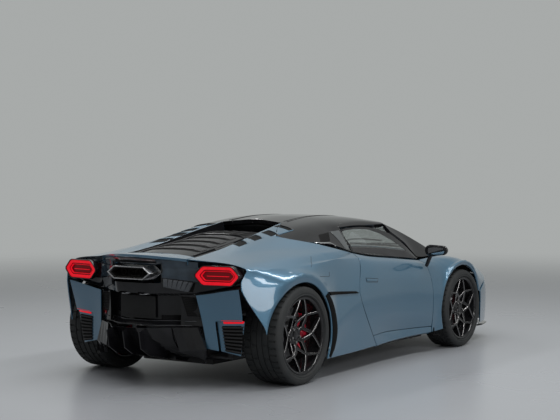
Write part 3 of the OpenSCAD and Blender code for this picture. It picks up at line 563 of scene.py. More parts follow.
def brakeDisc(name, centre, rimRadius):
    near = wheels["hubFace"]
    r = rimRadius - wheels["discClear"]
    profile = [(near - 0.066, 0.122), (near - 0.066, r), (near - 0.055, r), (near - 0.053, r - 0.012),
               (near - 0.045, r - 0.012),
               (near - 0.043, r), (near - 0.032, r), (near - 0.032, 0.122), (near - 0.030, 0.100),
               (near - 0.004, 0.086),
               (near, 0.080), (near, 0.036), (near - 0.008, 0.036), (near - 0.010, 0.076), (near - 0.038, 0.094),
               (near - 0.044, 0.110)]
    obj = turned(name, profile, 84, centre)
    softEdges(obj, 0.001, 1, 30)
    drills = []
    for i in range(wheels["discHoles"]):
        for k, share in enumerate((0.68, 0.79, 0.9)):
            bpy.ops.mesh.primitive_cylinder_add(vertices=10, radius=0.0045, depth=0.09, rotation=(pi / 2, 0, 0),
                                                location=(centre.x, centre.y + near - 0.049, centre.z + r * share))
            drill = applyPlace(bpy.context.object)
            drill.data.transform(around(centre, 2 * pi * (i + k * 0.28) / wheels["discHoles"]))
            drills.append(drill)
    drilled = merge(name + "_drills", drills)
    modify(obj, "BOOLEAN", object=drilled, operation="DIFFERENCE", solver="EXACT")
    bpy.data.objects.remove(drilled)
    return smooth(obj, 30)


def wheelSet(end):
    centre, radius, width = axleOf(f"tyre_{end}_left")
    rimRadius = axleOf(f"rim_{end}_left")[1] - wheels["flange"]
    bodies = (f"wheel_{end}_left", f"wheel_{end}_right")
    tread = tyre(f"tread_{end}_left", centre, radius, width, rimRadius)
    rim = merge(f"wheel_{end}_left", [
        wheelFace(f"spokes_{end}", centre, rimRadius, width), hub(f"hub_{end}", centre),
        barrel(f"barrel_{end}", centre, rimRadius, width)])
    disc = brakeDisc(f"disc_{end}_left", centre, rimRadius)
    paired(tread, bodies, rubber, ([f"tyre_{end}_left"], [f"tyre_{end}_right"]))
    paired(rim, bodies, None, ([f"rim_{end}_left"], [f"rim_{end}_right"]))
    paired(disc, bodies, discGrey)
    print("wheels", end, len(tread.data.polygons) + len(rim.data.polygons), "faces each")


for end in ("front", "rear"):
    wheelSet(end)

# Laying details on a surface


def skinTree(*objs):  # a search tree over finished meshes, to land details on
    verts, faces = [], []
    for o in objs:
        base = len(verts)
        verts += [v.co.copy() for v in o.data.vertices]
        faces += [[base + i for i in f.vertices] for f in o.data.polygons]
    return BVHTree.FromPolygons(verts, faces)


def land(tree, start, toward, out=0.0):
    toward = Vector(toward).normalized()
    place = tree.ray_cast(Vector(start), toward)[0]
    return None if place is None else place - toward * out


def facing(y0, y1, top, foot):  # the corners of a rectangle that faces fore and aft
    return [(0, y0, top), (0, y1, top), (0, y1, foot), (0, y0, foot)]


def onTop(x0, x1, y0, y1):  # the corners of a rectangle seen from above
    return [(x0, y0, 2), (x0, y1, 2), (x1, y1, 2), (x1, y0, 2)]


def landed(tree, starts, toward, out=0.0):  # the starts that meet the surface, landed on it
    spots = [land(tree, start, toward, out) for start in starts]
    return [p for p in spots if p is not None]


def laid(name, tree, corners, toward, out, thick, material, across=8, up=3):  # a thin plate that follows the surface
    a, b, c, d = (Vector(p) for p in corners)
    back = Vector(toward).normalized()
    middle = (a + b + c + d) / 4
    rows = []
    last = land(tree, middle - back * 3, back, out) or middle
    for j in range(up + 1):
        row = []
        for i in range(across + 1):
            s, t = i / across, j / up
            p = a.lerp(b, s).lerp(d.lerp(c, s), t)
            at = land(tree, p - back * 3, back, out)
            tries = 0
            while at is None and tries < 16:  # drawn in until it meets the surface
                tries += 1
                p = p.lerp(middle, 0.12)
                at = land(tree, p - back * 3, back, out)
            row.append(at if at is not None else last)
            last = row[-1]
        rows.append(row)
    obj = skinOf(name, rows)
    thicken(obj, back * (thick + out))
    softEdges(obj, min(0.0012, (thick + out) * 0.3), 2, 40)
    return smooth(dress(obj, material), 35)


def loop(name, sections, material, edge=0.0):  # a closed ring through closed cross sections
    rows = [list(s) + [s[0]] for s in sections]
    obj = skinOf(name, rows + [rows[0]])
    doneEditing(obj, outward=True)
    if edge:
        softEdges(obj, edge, 2, 25)
    return smooth(dress(obj, material), 30)


def shrunk(points, gap):  # a flat closed outline drawn in by a gap
    n = len(points)
    turn = sum(points[i][0] * points[(i + 1) % n][1] - points[(i + 1) % n][0] * points[i][1] for i in range(n))
    way = 1 if turn > 0 else -1
    result = []
    for i in range(n):
        p, q, r = (Vector(points[(i + k) % n]).to_2d() for k in (-1, 0, 1))
        u, v = (q - p).normalized(), (r - q).normalized()
        nu, nv = Vector((-u.y, u.x)) * way, Vector((-v.y, v.x)) * way
        mitre = (nu + nv).normalized()
        result.append(tuple(q + mitre * gap / max(0.35, mitre.dot(nu))))
    return result


def lampShape(centreY, centreZ, width, height, point):
    w, h = width / 2, height / 2
    flat = [(-w, 0), (-w + point, -h), (w - point, -h), (w, 0), (w - point, h), (-w + point, h)]
    return [(centreY + y, centreZ + z) for y, z in flat]


def rounder(points, cut):  # cuts each corner of a closed outline once
    n = len(points)
    result = []
    for i in range(n):
        p, q, r = (Vector(points[(i + k) % n]).to_2d() for k in (-1, 0, 1))
        result += [tuple(q + (p - q).normalized() * cut), tuple(q + (r - q).normalized() * cut)]
    return result


# Tail lamps

lamp = {"centreY": 0.640, "centreZ": 0.830, "width": 0.372, "height": 0.146, "point": 0.068, "ring": 0.022}
lampTree = skinTree(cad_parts["tail_lamps"])

redLens = finish("red_lens", (0.11, 0.004, 0.006), 0.08, coat=1.0, coatRough=0.02)
patterned(redLens, waves, 90, tones=((0.05, 0.002, 0.003), (0.20, 0.006, 0.009), 0.2, 0.8), bump=(0.3, 0.001),
          bands_direction="Z")
glowRed = finish("glowing_red", (0.36, 0.006, 0.012), 0.22, glow=0.52, glowColour=(1.0, 0.006, 0.022, 1),
                 specular=0.2)
patterned(glowRed, noise, 26, tones=((0.28, 0.004, 0.009), (0.42, 0.010, 0.018)), detail=2)
glowDeep = finish("deep_red_glow", (0.10, 0.003, 0.006), 0.3, glow=0.05, glowColour=(1.0, 0.012, 0.03, 1),
                  specular=0.2)
patterned(glowDeep, waves, 55, tones=((0.05, 0.002, 0.003), (0.13, 0.004, 0.007), 0.2, 0.8), bands_direction="Z")
lampTrim = glossBlack("lamp_housing", (0.010, 0.007, 0.008))


def lampX(y, back):
    near = min(max(y, 0.52), 0.76)
    place = land(lampTree, (-3, near, lamp["centreZ"]), forward)
    other = land(lampTree, (-3, near + 0.01, lamp["centreZ"]), forward)
    slope = (other.x - place.x) / 0.01
    return place.x + slope * (y - near) + back


def lampRing(name, outer, inner, front, back, material, edge=0.0015):
    sections = []
    for (yo, zo), (yi, zi) in zip(outer, inner):
        sections.append([(lampX(yo, front), yo, zo), (lampX(yi, front), yi, zi),
                         (lampX(yi, back), yi, zi), (lampX(yo, back), yo, zo)])
    return loop(name, sections, material, edge)


def lampPlate(name, shape, front, back, material):
    obj = outline(name, [(y, z) for y, z in shape], back - front)
    for v in obj.data.vertices:
        y, z, deep = v.co.x, v.co.y, v.co.z
        v.co = (lampX(y, front + deep), y, z)
    doneEditing(obj, outward=True)
    softEdges(obj, 0.0015, 2, 40)
    return smooth(dress(obj, material), 35)


plain = lampShape(lamp["centreY"], lamp["centreZ"], lamp["width"], lamp["height"], lamp["point"])
full, second, third, fourth, fifth = (rounder(shrunk(plain, gap) if gap else plain, cut) for gap, cut in (
    (0, 0.012), (0.007, 0.011), (0.007 + lamp["ring"], 0.008), (0.016 + lamp["ring"], 0.006),
    (0.0195 + lamp["ring"], 0.005)))
lampPieces = [
    lampRing("lamp_bezel", full, second, 0.001, 0.05, lampTrim),
    lampPlate("lamp_floor", second, 0.030, 0.036, glowDeep),
    lampRing("lamp_ring", second, third, 0.006, 0.026, glowRed, 0.004),
    lampRing("lamp_step", third, fourth, 0.018, 0.032, glowDeep, 0.001),
    lampRing("lamp_inner", fourth, fifth, 0.014, 0.030, glowRed, 0.001),
    lampPlate("lamp_blade", rounder([(lamp["centreY"] - 0.085, 0.8255), (lamp["centreY"] + 0.085, 0.8255),
                                     (lamp["centreY"] + 0.085, 0.8295), (lamp["centreY"] - 0.085, 0.8295)], 0.001),
              0.016, 0.030, glowRed),
]
leftLamp = merge("tail_lamp_left", lampPieces)
paired(leftLamp, replaces=(["tail_lamps"], ()))
print("tail lamps", len(leftLamp.data.polygons))

# Exhaust

outlet = {"wide": 0.404, "high": 0.098, "point": 0.066}
outLow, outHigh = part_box("exhaust_outlet")
outZ = (outLow.z + outHigh.z) / 2
satin = finish("satin_steel", (0.42, 0.42, 0.43), 0.28, 1.0)
patterned(satin, noise, 40, tones=((0.30, 0.30, 0.31), (0.50, 0.50, 0.51)), dull=(0.2, 0.36), stretch=(1, 1, 9),
          detail=4)
# dark steel inside the outlet: partly real soot, partly painted shade deep in the outlet
sootAndShadeSteel = finish("sooty_steel", (0.02, 0.019, 0.018), 0.6, 0.7)
patterned(sootAndShadeSteel, noise, 22, tones=((0.008, 0.008, 0.008), (0.045, 0.042, 0.038)), dull=(0.45, 0.75), detail=5)


def outletRing(name, gaps, xs, material, edge):
    shape = lampShape(0, outZ, outlet["wide"], outlet["high"], outlet["point"])
    rings = [shrunk(shape, g) if g else shape for g in gaps]
    sections = [[(outLow.x + x, *ring[i]) for ring, x in zip(rings, xs)] for i in range(6)]
    return loop(name, sections, material, edge)


frameRing = outletRing("exhaust_frame", (0.002, 0.0, 0.0, 0.014, 0.014, 0.009), (0.0, 0.006, 0.148, 0.148, 0.030,
                                                                                 0.0), satin, 0.0012)
sleeve = outletRing("exhaust_sleeve", (0.0145, 0.0145, 0.0180, 0.0180), (0.028, 0.146, 0.146, 0.028), sootAndShadeSteel, 0.0)
pipes = []
for y in (-0.098, -0.033, 0.033, 0.098):
    bpy.ops.mesh.primitive_cylinder_add(vertices=32, radius=0.024, depth=0.05, rotation=(0, pi / 2, 0),
                                        location=(outLow.x + 0.098, y, outZ), end_fill_type="NOTHING")
    pipe = applyPlace(bpy.context.object)
    modify(pipe, "SOLIDIFY", thickness=0.0022, offset=-1)
    pipe.data.materials.append(sootAndShadeSteel)
    pipes.append(smooth(pipe, 35))
backPlate = bar("exhaust_back", (outLow.x + 0.120, -0.165, outZ - 0.028), (outLow.x + 0.128, 0.165, outZ + 0.028))
softEdges(backPlate, 0.002)
backPlate.data.materials.append(sootAndShadeSteel)
exhaust = merge("exhaust_finisher", [frameRing, sleeve, backPlate] + pipes)
finished(exhaust, "body", None, ["exhaust_outlet"])

# Tail fascia: upper band, ribbed vents, mesh, plate lamps, cross bars

fascia = {"ribs": 6, "meshPitch": 0.013, "barZ": (0.489, 0.453)}
tailTree = skinTree(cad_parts["rear_fascia"])
fasciaSkin = smoothed("rear_fascia", "tail_fascia", 0.003)
finished(fasciaSkin, "body", pianoBlack, ["rear_fascia"])
# the body paint between the lamps and on the apron, darkened to near black as painted shade under the deck's lip
paintDarkenedForShade = glossBlack("tail_band_grey", (0.026, 0.037, 0.049))
bandAt = [(0, 0.212, 0.912), (0, 0.458, 0.882), (0, 0.470, 0.776), (0, 0.232, 0.808)]
bandLeft = laid("painted_band_left", tailTree, bandAt, forward, 0.003, 0.004, paintDarkenedForShade, 12, 4)
bandTop = laid("painted_band_top", tailTree, facing(-0.212, 0.212, 0.912, 0.896), forward, 0.003, 0.004, paintDarkenedForShade,
               12, 1)
bands = merge("painted_band", [bandLeft, twin(bandLeft, "painted_band_right", acrossCar), bandTop])
finished(bands, "body")

ribBlack = finish("rib_grey", (0.045, 0.05, 0.057), 0.3)
patterned(ribBlack, noise, 120, tones=((0.034, 0.038, 0.044), (0.058, 0.064, 0.072)), dull=(0.32, 0.48), detail=3)
# near black: painted shade in the beds, pits, slots and mouths of vents and recesses; also the black of the arch
# trims, winglets and rear window header
shadeAndTrimBlack = finish("vent_pit", (0.003, 0.003, 0.003), 0.8, specular=0.12)
patterned(shadeAndTrimBlack, noise, 30, dull=(0.7, 0.9), detail=2)


def ribbedVent():
    # the bed behind the ribs is painted shade
    pieces = [laid("vent_bed", tailTree, [(0, 0.222, 0.804), (0, 0.438, 0.772), (0, 0.415, 0.700), (0, 0.250, 0.742)],
                   forward, 0.0015, 0.004, shadeAndTrimBlack, 12, 4)]
    for i in range(fascia["ribs"]):
        s = (i + 0.5) / fascia["ribs"]
        top = Vector((0, 0.238, 0.803)).lerp(Vector((0, 0.430, 0.772)), s)
        foot = Vector((0, 0.262, 0.742)).lerp(Vector((0, 0.412, 0.703)), s) + Vector((0, -0.022, 0))
        w = Vector((0, 0.0125, -0.002))
        rib = laid(f"vent_rib_{i}", tailTree, [top - w, top + w, foot + w, foot - w], forward, 0.011, 0.004,
                   ribBlack, 3, 5)
        pieces.append(rib)
    return merge("ribbed_vent_left", pieces)


def meshPanel(name, corners, out=0.003, pitch=None):  # a woven grille in a frame
    pitch = pitch or fascia["meshPitch"]
    a, b, c, d = (Vector(p) for p in corners)
    nAcross = max(4, int((b - a).length / pitch))
    nUp = max(3, int((d - a).length / pitch))
    rows = []
    for j in range(nUp + 1):
        row = []
        for i in range(nAcross + 1):
            shift = 0.5 / nAcross if j % 2 and 0 < i < nAcross else 0
            s, t = i / nAcross + shift * 0.9, j / nUp
            p = a.lerp(b, min(s, 1)).lerp(d.lerp(c, min(s, 1)), t)
            at = land(tailTree, (-3, p.y, p.z), forward, out)
            row.append(at if at is not None else (row[-1] if row else p))
        rows.append(row)
    obj = skinOf(name, rows)
    modify(obj, "WIREFRAME", thickness=0.0026, use_even_offset=False, use_boundary=True)
    obj.data.materials.append(grained)
    # the bed behind the mesh is painted shade
    bed = laid(name + "_bed", tailTree, corners, forward, 0.0008, 0.003, shadeAndTrimBlack, 10, 4)
    return merge(name, [obj, bed])


leftPieces = [
    ribbedVent(),
    meshPanel("mesh_outer", [(0, 0.335, 0.672), (0, 0.458, 0.662), (0, 0.462, 0.520), (0, 0.372, 0.528)]),
    meshPanel("mesh_low", [(0, 0.175, 0.530), (0, 0.300, 0.528), (0, 0.300, 0.500), (0, 0.175, 0.502)]),
]
paired(merge("tail_grilles_left", leftPieces))

brightTrim = finish("bright_trim", (0.55, 0.56, 0.57), 0.2, 1.0)
patterned(brightTrim, noise, 80, tones=((0.45, 0.46, 0.47), (0.62, 0.63, 0.64)), dull=(0.14, 0.26), detail=2)
whiteLens = finish("clear_lens", (0.75, 0.77, 0.8), 0.12, glow=0.25, glowColour=(0.9, 0.94, 1.0, 1), coat=1.0)
patterned(whiteLens, waves, 300, tones=((0.6, 0.62, 0.66), (0.85, 0.87, 0.9)), dull=(0.08, 0.2))
bars = []
for z, reach in ((fascia["barZ"][0], 0.43), (fascia["barZ"][1] + 0.006, 0.40)):
    line = [(-3, y, z) for y in spaced(-reach, reach, 24)]
    bars.append(rod("tail_bar", landed(tailTree, line, forward, 0.0035), 0.0035))
finished(merge("tail_cross_bars", bars), "body", glossBlack("bar_black", (0.03, 0.032, 0.036)))

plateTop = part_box("plate_holder")[1].z
plateBits = []
for y in (-0.085, 0.085):
    hoodAt = facing(y - 0.034, y + 0.034, plateTop + 0.026, plateTop + 0.010)
    lensAt = facing(y - 0.021, y + 0.021, plateTop + 0.020, plateTop + 0.014)
    plateBits += [laid("plate_lamp_hood", tailTree, hoodAt, forward, 0.010, 0.004, pianoBlack, 5, 2),
                  laid("plate_lamp_lens", tailTree, lensAt, forward, 0.0115, 0.002, whiteLens, 4, 2)]
finished(merge("plate_lamps", plateBits), "body")

dress(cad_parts["plate_holder"], grainedPlastic("plate_black", (0.007, 0.007, 0.0075)))
dress(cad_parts["diffuser"], pianoBlack)
print("tail fascia done")

# Bumper corners: ribbed outlets and reflectors

corner = {"ribs": 8, "ribHigh": 0.011}
cornerTree = skinTree(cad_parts["rear_bumper"])


def cornerGrille():
    pieces = []
    topIn, topOut = Vector((0, 0.612, 0.462)), Vector((0, 0.782, 0.470))
    footIn, footOut = Vector((0, 0.632, 0.275)), Vector((0, 0.742, 0.258))
    # the bed behind the ribs is painted shade
    pieces.append(laid("outlet_bed", cornerTree, [topIn, topOut, footOut, footIn], forward, 0.0008, 0.002, shadeAndTrimBlack,
                       6, 6))
    for i in range(corner["ribs"]):
        t = (i + 0.5) / corner["ribs"]
        a, b = topIn.lerp(footIn, t), topOut.lerp(footOut, t)
        h = Vector((0, 0, corner["ribHigh"] / 2))
        pieces.append(laid(f"outlet_rib_{i}", cornerTree, [a + h, b + h, b - h, a - h], forward, 0.010, 0.002,
                           grained, 6, 1))
    return merge("corner_grille_left", pieces)


paired(cornerGrille())
# the reflector takes the lamps' glowing red, a painted glow since it is no lamp
reflectorAt = [(0, 0.622, 0.505), (0, 0.790, 0.511), (0, 0.796, 0.486), (0, 0.628, 0.478)]
paired(laid("reflector_left", cornerTree, reflectorAt, forward, 0.004, 0.003, glowRed, 8, 2))
print("bumper corners done")

# Engine bay: louvred cover, window frame, buttress slots

bay = {"slats": 4, "slatStart": -1.25, "slatPitch": 0.145, "slatWide": 0.20, "slatLift": 0.005,
       "latticeX": (-0.745, -0.85, -0.95, -1.05, -1.142)}
coverTree = skinTree(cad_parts["engine_cover"])
coverSkin = smoothed("engine_cover", "engine_lid_skin", 0.003)
finished(coverSkin, "engine_lid", pianoBlack, ["engine_cover"])

lidBits = []
for i in range(bay["slats"]):
    x = bay["slatStart"] - i * bay["slatPitch"]
    w = bay["slatWide"] + 0.012 * i
    front, rear = x + 0.040, x - 0.040
    slat = laid(f"lid_slat_{i}", coverTree, onTop(front, rear, -w, w), down, 0.003, 0.002, grained, 14, 2)
    for v in slat.data.vertices:  # each slat rises towards the tail
        share = min(1, max(0, (front - v.co.x) / 0.08))
        v.co.z += bay["slatLift"] * share * (1 - (abs(v.co.y) / (w * 1.08)) ** 4)
    lidBits.append(smooth(slat, 30))
    # a strip of painted shade behind each slat
    pitAt = onTop(rear + 0.006, rear - 0.024, -w * 0.96, w * 0.96)
    lidBits.append(laid(f"lid_pit_{i}", coverTree, pitAt, down, 0.0012, 0.001, shadeAndTrimBlack, 10, 1))
# the mouth is a plate of painted shade
mouthAt = [(-0.735, -0.255, 2), (-0.735, 0.255, 2), (-1.150, 0.262, 2), (-1.150, -0.262, 2)]
mouth = laid("lid_mouth", coverTree, mouthAt, down, 0.0035, 0.002, shadeAndTrimBlack, 14, 6)
lip = []
for a, b in zip(mouthAt, mouthAt[1:] + mouthAt[:1]):
    for t in (0.02, 0.2, 0.4, 0.6, 0.8, 0.98):
        x, y = a[0] + (b[0] - a[0]) * t, a[1] + (b[1] - a[1]) * t
        lip.append(land(coverTree, (x, y, 3), down, 0.003) or Vector((x, y, 1.05)))
mouthRim = rod("lid_mouth_rim", lip, 0.006, closed=True, sides=12)
lidBits += [mouth, dress(mouthRim, pianoBlack)]
for i in range(5):  # a lattice across the mouth
    y = -0.17 + 0.085 * i
    points = [land(coverTree, (x, y, 3), down, 0.006) or Vector((x, y, 1.06)) for x in bay["latticeX"]]
    lidBits.append(dress(rod(f"lid_stay_{i}", points, 0.0035), grained))
finished(merge("lid_slats", lidBits), "engine_lid")

spines, hatchPads = [], []
for side in (1, -1):
    line = [(-0.76 - 1.13 * t, side * (0.238 + 0.035 * t), 3) for t in spaced(0, 1, 18)]
    spines.append(rod("lid_spine", landed(coverTree, line, down, 0.004), 0.0065, sides=12))
    for i, (x0, x1) in enumerate(((-0.80, -0.99), (-1.03, -1.30), (-1.34, -1.60))):
        y0, y1 = side * 0.262, side * 0.292
        corners = [(x0, y0, 2), (x0, y1 - side * 0.012, 2), (x1, y1, 2), (x1, y0 + side * 0.012, 2)]
        hatchPads.append(laid(f"lid_pad_{i}", coverTree, corners, down, 0.007, 0.002, grained, 6, 2))
finished(merge("lid_spines", spines), "engine_lid", pianoBlack)
finished(merge("lid_pads", hatchPads), "engine_lid")
print("engine lid done")

# Painted wedge between the roof and each buttress, and the slots beside the bay

quarter = bpy.data.objects["rear_quarter_left"]
roofTree = skinTree(bpy.data.objects["roof_skin"])
wedge = laid("wedge", roofTree, [(-0.800, 0.318, 2), (-0.836, 0.492, 2), (-1.030, 0.478, 2), (-0.935, 0.388, 2)],
             down,
             0.0040, 0.002, paint, 14, 10)
gills = {"places": [((-1.315, 0.322), (-1.390, 0.438), 0.112), ((-1.132, 0.322), (-1.195, 0.442), 0.106),
                    ((-0.965, 0.335), (-1.012, 0.462), 0.094), ((-0.786, 0.310), (-0.836, 0.486), 0.050)],
         "lip": 0.016, "proud": 0.007}
wedgeTree = skinTree(quarter, bpy.data.objects["roof_skin"], wedge)
gillPieces = []
for i, (a, b, wide) in enumerate(gills["places"]):
    # each slot is a plate of painted shade under its lip
    pitAt = [(*a, 2), (*b, 2), (b[0] - wide, b[1] - 0.004, 2), (a[0] - wide, a[1] - 0.004, 2)]
    gillPieces.append(laid(f"gill_pit_{i}", wedgeTree, pitAt, down, 0.0012, 0.001, shadeAndTrimBlack, 12, 8))
    hoodAt = [(x + move, y, 2) for (x, y), move in zip((a, b, b, a), (gills["lip"], gills["lip"], -0.010, -0.010))]
    hood = laid(f"gill_lip_{i}", wedgeTree, hoodAt, down, 0.0016, 0.001, pianoBlack if i == 3 else paint, 12, 4)
    for v in hood.data.vertices:  # the lip rises towards the mouth behind it
        t = (v.co.y - a[1]) / (b[1] - a[1])
        front = a[0] + (b[0] - a[0]) * t + gills["lip"]
        v.co.z += gills["proud"] * min(1, max(0, (front - v.co.x) / (gills["lip"] + 0.010))) * (1 - (2 * t - 1) ** 4)
    gillPieces.append(hood)
paired(merge("buttress_gills_left", gillPieces))
finished(merge("painted_wedges", [wedge, twin(wedge, "wedge_right", acrossCar)]), "body")

# Apron between the deck's lip and the fascia, with the high brake light and a vent slot in it

apron = {"reach": 0.455, "lipDrop": 0.020}


def apronTop(y):
    return 0.980 - 0.0875 * abs(y) - apron["lipDrop"]


topRow, footRow = [], []
for y in spaced(-apron["reach"], apron["reach"], 30):
    x = -2.312 + 0.012 * (abs(y) / 0.09) if abs(y) < 0.09 else -2.300 + (abs(y) - 0.09) * 0.63
    if abs(y) > 0.392:
        x = -2.108 + (abs(y) - 0.392) * 0.6
    topRow.append(Vector((x + 0.016, y, apronTop(y))))
    low = land(tailTree, (-3, y, 0.905 if abs(y) < 0.21 else 0.876), forward, 0.0035)
    footRow.append(low if low is not None else Vector((x + 0.05, y, 0.905)))
apronSkin = skinOf("deck_apron", [[a.lerp(b, t) for a, b in zip(topRow, footRow)] for t in (0, 0.25, 0.5, 0.75, 1)])
softEdges(thicken(apronSkin, (0.003, 0, 0)), 0.001, 2, 40)
# the apron carries the body paint darkened as painted shade under the deck's lip
finished(smooth(apronSkin, 30), "body", paintDarkenedForShade)
apronTree = skinTree(apronSkin)
highLens = finish("high_brake_lens", (0.030, 0.002, 0.003), 0.12, coat=1.0)
patterned(highLens, waves, 120, tones=((0.020, 0.0015, 0.002), (0.045, 0.003, 0.004)), dull=(0.1, 0.2))
brakeBits = []
# the lower strip is a slot of painted shade
for drop, tall, mat in ((0.26, 0.0065, highLens), (0.62, 0.0075, shadeAndTrimBlack)):
    rows = []
    for move in (tall, -tall):
        starts = [(-3, y, apronTop(y) * (1 - drop) + 0.905 * drop + move) for y in spaced(-0.19, 0.19, 24)]
        rows.append([land(apronTree, p, forward, 0.0015) or Vector((-2.29, p[1], p[2])) for p in starts])
    strip = skinOf("apron_strip", rows)
    softEdges(thicken(strip, (0.003, 0, 0)), 0.0006, 2, 40)
    brakeBits.append(smooth(dress(strip, mat), 30))
finished(merge("high_brake_light", brakeBits), "body")

# The bay's inner walls are turned gloss black as painted shade

for side, name in ((1, "rear_quarter_left"), (-1, "rear_quarter_right")):
    skin = bpy.data.objects[name]
    skin.data.materials.append(pianoBlack)
    for f in skin.data.polygons:
        if f.normal.y * side < -0.30 and abs(f.center.y) < 0.43 and f.center.z > 0.80 and f.center.x > -1.98:
            f.material_index = 1

# the rear window is opaque; its near black is partly a smoked tint and partly painted shade of the dark space behind
# it
smokedGlassAndShade = finish("smoked_glass", (0.004, 0.0045, 0.005), 0.22, specular=0.12)
patterned(smokedGlassAndShade, noise, 14, tones=((0.003, 0.0035, 0.004), (0.006, 0.0065, 0.007)), dull=(0.18, 0.28), detail=3)
dress(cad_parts["rear_window"], smokedGlassAndShade)
castAlloy = finish("cast_alloy", (0.20, 0.20, 0.205), 0.45, 0.85)
patterned(castAlloy, noise, 90, bump=(0.4, 0.0008), detail=6)
patterned(castAlloy, noise, 8, tones=((0.12, 0.12, 0.125), (0.24, 0.24, 0.245)), dull=(0.38, 0.6), detail=4)
dress(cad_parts["engine"], castAlloy)

# A black header closes the gap between the rear window's top edge and the roof

header = {"reach": 0.36, "x": -0.628, "foot": 1.045, "footX": -0.5992, "gap": 0.002}
headRows = [[], []]
for y in spaced(-header["reach"], header["reach"], 24):
    top = land(roofTree, (header["x"], y, 1.0), (0, 0, 1), header["gap"])
    headRows[0].append(top if top is not None else Vector((header["x"], y, 1.10)))
    headRows[1].append(Vector((header["footX"], y, header["foot"])))
headPlate = skinOf("window_header", headRows)
softEdges(thicken(headPlate, (0.004, 0, 0)), 0.0008, 2, 40)
finished(smooth(headPlate, 30), "body", shadeAndTrimBlack)
print("bay done")

# Sides: glass edging, quarter window, trims, handles, blades, seams


def across(name, tree, pairs, toward, out, thick, material, rowsCount=2):
    # a plate between pairs of points, laid on a surface
    back = Vector(toward).normalized()
    rows = []
    for j in range(rowsCount + 1):
        row = []
        for a, b in pairs:
            p = Vector(a).lerp(Vector(b), j / rowsCount)
            at = land(tree, p - back * 3, back, out)
            step = 0
            while at is None and step < 12:  # drawn in until it meets the surface
                step += 1
                p = p.lerp(Vector(a), 0.15)
                at = land(tree, p - back * 3, back, out)
            row.append(at if at is not None else (row[-1] if row else Vector(a)))
        rows.append(row)
    obj = skinOf(name, rows)
    thicken(obj, back * (thick + out))
    return smooth(dress(obj, material), 35)


def between(points, n):  # even points along a line of points
    pts = [Vector(p) for p in points]
    lengths = [(b - a).length for a, b in zip(pts, pts[1:])]
    total = sum(lengths)
    result = []
    for i in range(n + 1):
        left = total * i / n
        for a, b, l in zip(pts, pts[1:], lengths):
            if left <= l or b is pts[-1]:
                result.append(a.lerp(b, min(1, left / l)))
                break
            left -= l
    return result


def pairsOf(inner, outer, steps):
    return list(zip(between(inner, steps), between(outer, steps)))


def seam(name, tree, points, toward, radius=0.0016, n=24):  # a shut line or crease drawn on a surface
    back = Vector(toward).normalized()
    return dress(rod(name, landed(tree, [p - back * 3 for p in between(points, n)], back), radius), seamBlack)


seamBlack = finish("seam_black", (0.006, 0.006, 0.007), 0.7)
patterned(seamBlack, noise, 60, dull=(0.6, 0.85), detail=2)

# Edging of the door glass: pairs of lines, inner then outer, with a plate laid between them
glassEdges = {
    "frit_top": ([(-0.392, 0.640, 1.072), (-0.330, 0.640, 1.088), (-0.150, 0.626, 1.094), (0.060, 0.628, 1.082),
                  (0.200, 0.650, 1.046), (0.330, 0.700, 0.992), (0.430, 0.735, 0.940), (0.500, 0.770, 0.892)],
                 [(-0.410, 0.636, 1.12), (-0.330, 0.636, 1.12), (-0.150, 0.62, 1.125), (0.090, 0.62, 1.12),
                  (0.260, 0.65, 1.09), (0.400, 0.69, 1.04), (0.530, 0.735, 0.975), (0.645, 0.80, 0.87)], 28,
                  pianoBlack, 3),
    "frit_belt": ([(-0.40, 0.80, 0.958), (0.10, 0.80, 0.925), (0.500, 0.80, 0.884)],
                  [(-0.44, 0.81, 0.900), (0.10, 0.815, 0.850), (0.640, 0.82, 0.800)], 20, grained, 2),
    "frit_front": ([(0.505, 0.765, 0.905), (0.500, 0.80, 0.880)], [(0.640, 0.79, 0.870), (0.640, 0.82, 0.800)], 4,
                   pianoBlack, 3),
    "frit_rear": ([(-0.392, 0.640, 1.075), (-0.398, 0.80, 0.955)], [(-0.440, 0.640, 1.075), (-0.441, 0.80, 0.915)],
                  8, pianoBlack, 2),
}
glassTree = skinTree(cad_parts["door_glass_left"])
edging = [across(name, glassTree, pairsOf(inner, outer, steps), inward, 0.0012, 0.0015, mat, rows)
          for name, (inner, outer, steps, mat, rows) in glassEdges.items()]
paired(merge("window_edging_left", edging), doors)

window = [(-0.530, 0.630, 1.086), (-0.405, 0.642, 1.092), (-0.478, 0.800, 0.945), (-0.545, 0.775, 0.945)]
pane = finish("quarter_pane", (0.055, 0.062, 0.064), 0.05)
patterned(pane, noise, 6, tones=((0.045, 0.05, 0.052), (0.065, 0.073, 0.075)), dull=(0.03, 0.09), detail=2)
quarterGlass = laid("quarter_window", roofTree, window, inward, 0.003, 0.003, pane, 6, 8)
# the recess is a plate of painted shade
recessAt = [(-0.700, 0.640, 1.068), (-0.556, 0.640, 1.082), (-0.660, 0.722, 1.022), (-0.800, 0.700, 1.012)]
recess = laid("pillar_recess", roofTree, recessAt, inward, 0.0016, 0.002, shadeAndTrimBlack, 6, 4)
trimTop = between([(-0.900, 0.69, 1.020), (-0.690, 0.73, 1.012), (-0.640, 0.765, 0.975), (-0.490, 0.80, 0.934)], 20)
trimLow = [p + Vector((-0.003, 0.003, -0.009)) for p in trimTop]
trimStrip = across("pillar_trim", roofTree, list(zip(trimTop, trimLow)), inward, 0.004, 0.002, brightTrim, 2)
paired(merge("pillar_window_left", [quarterGlass, recess, trimStrip]))

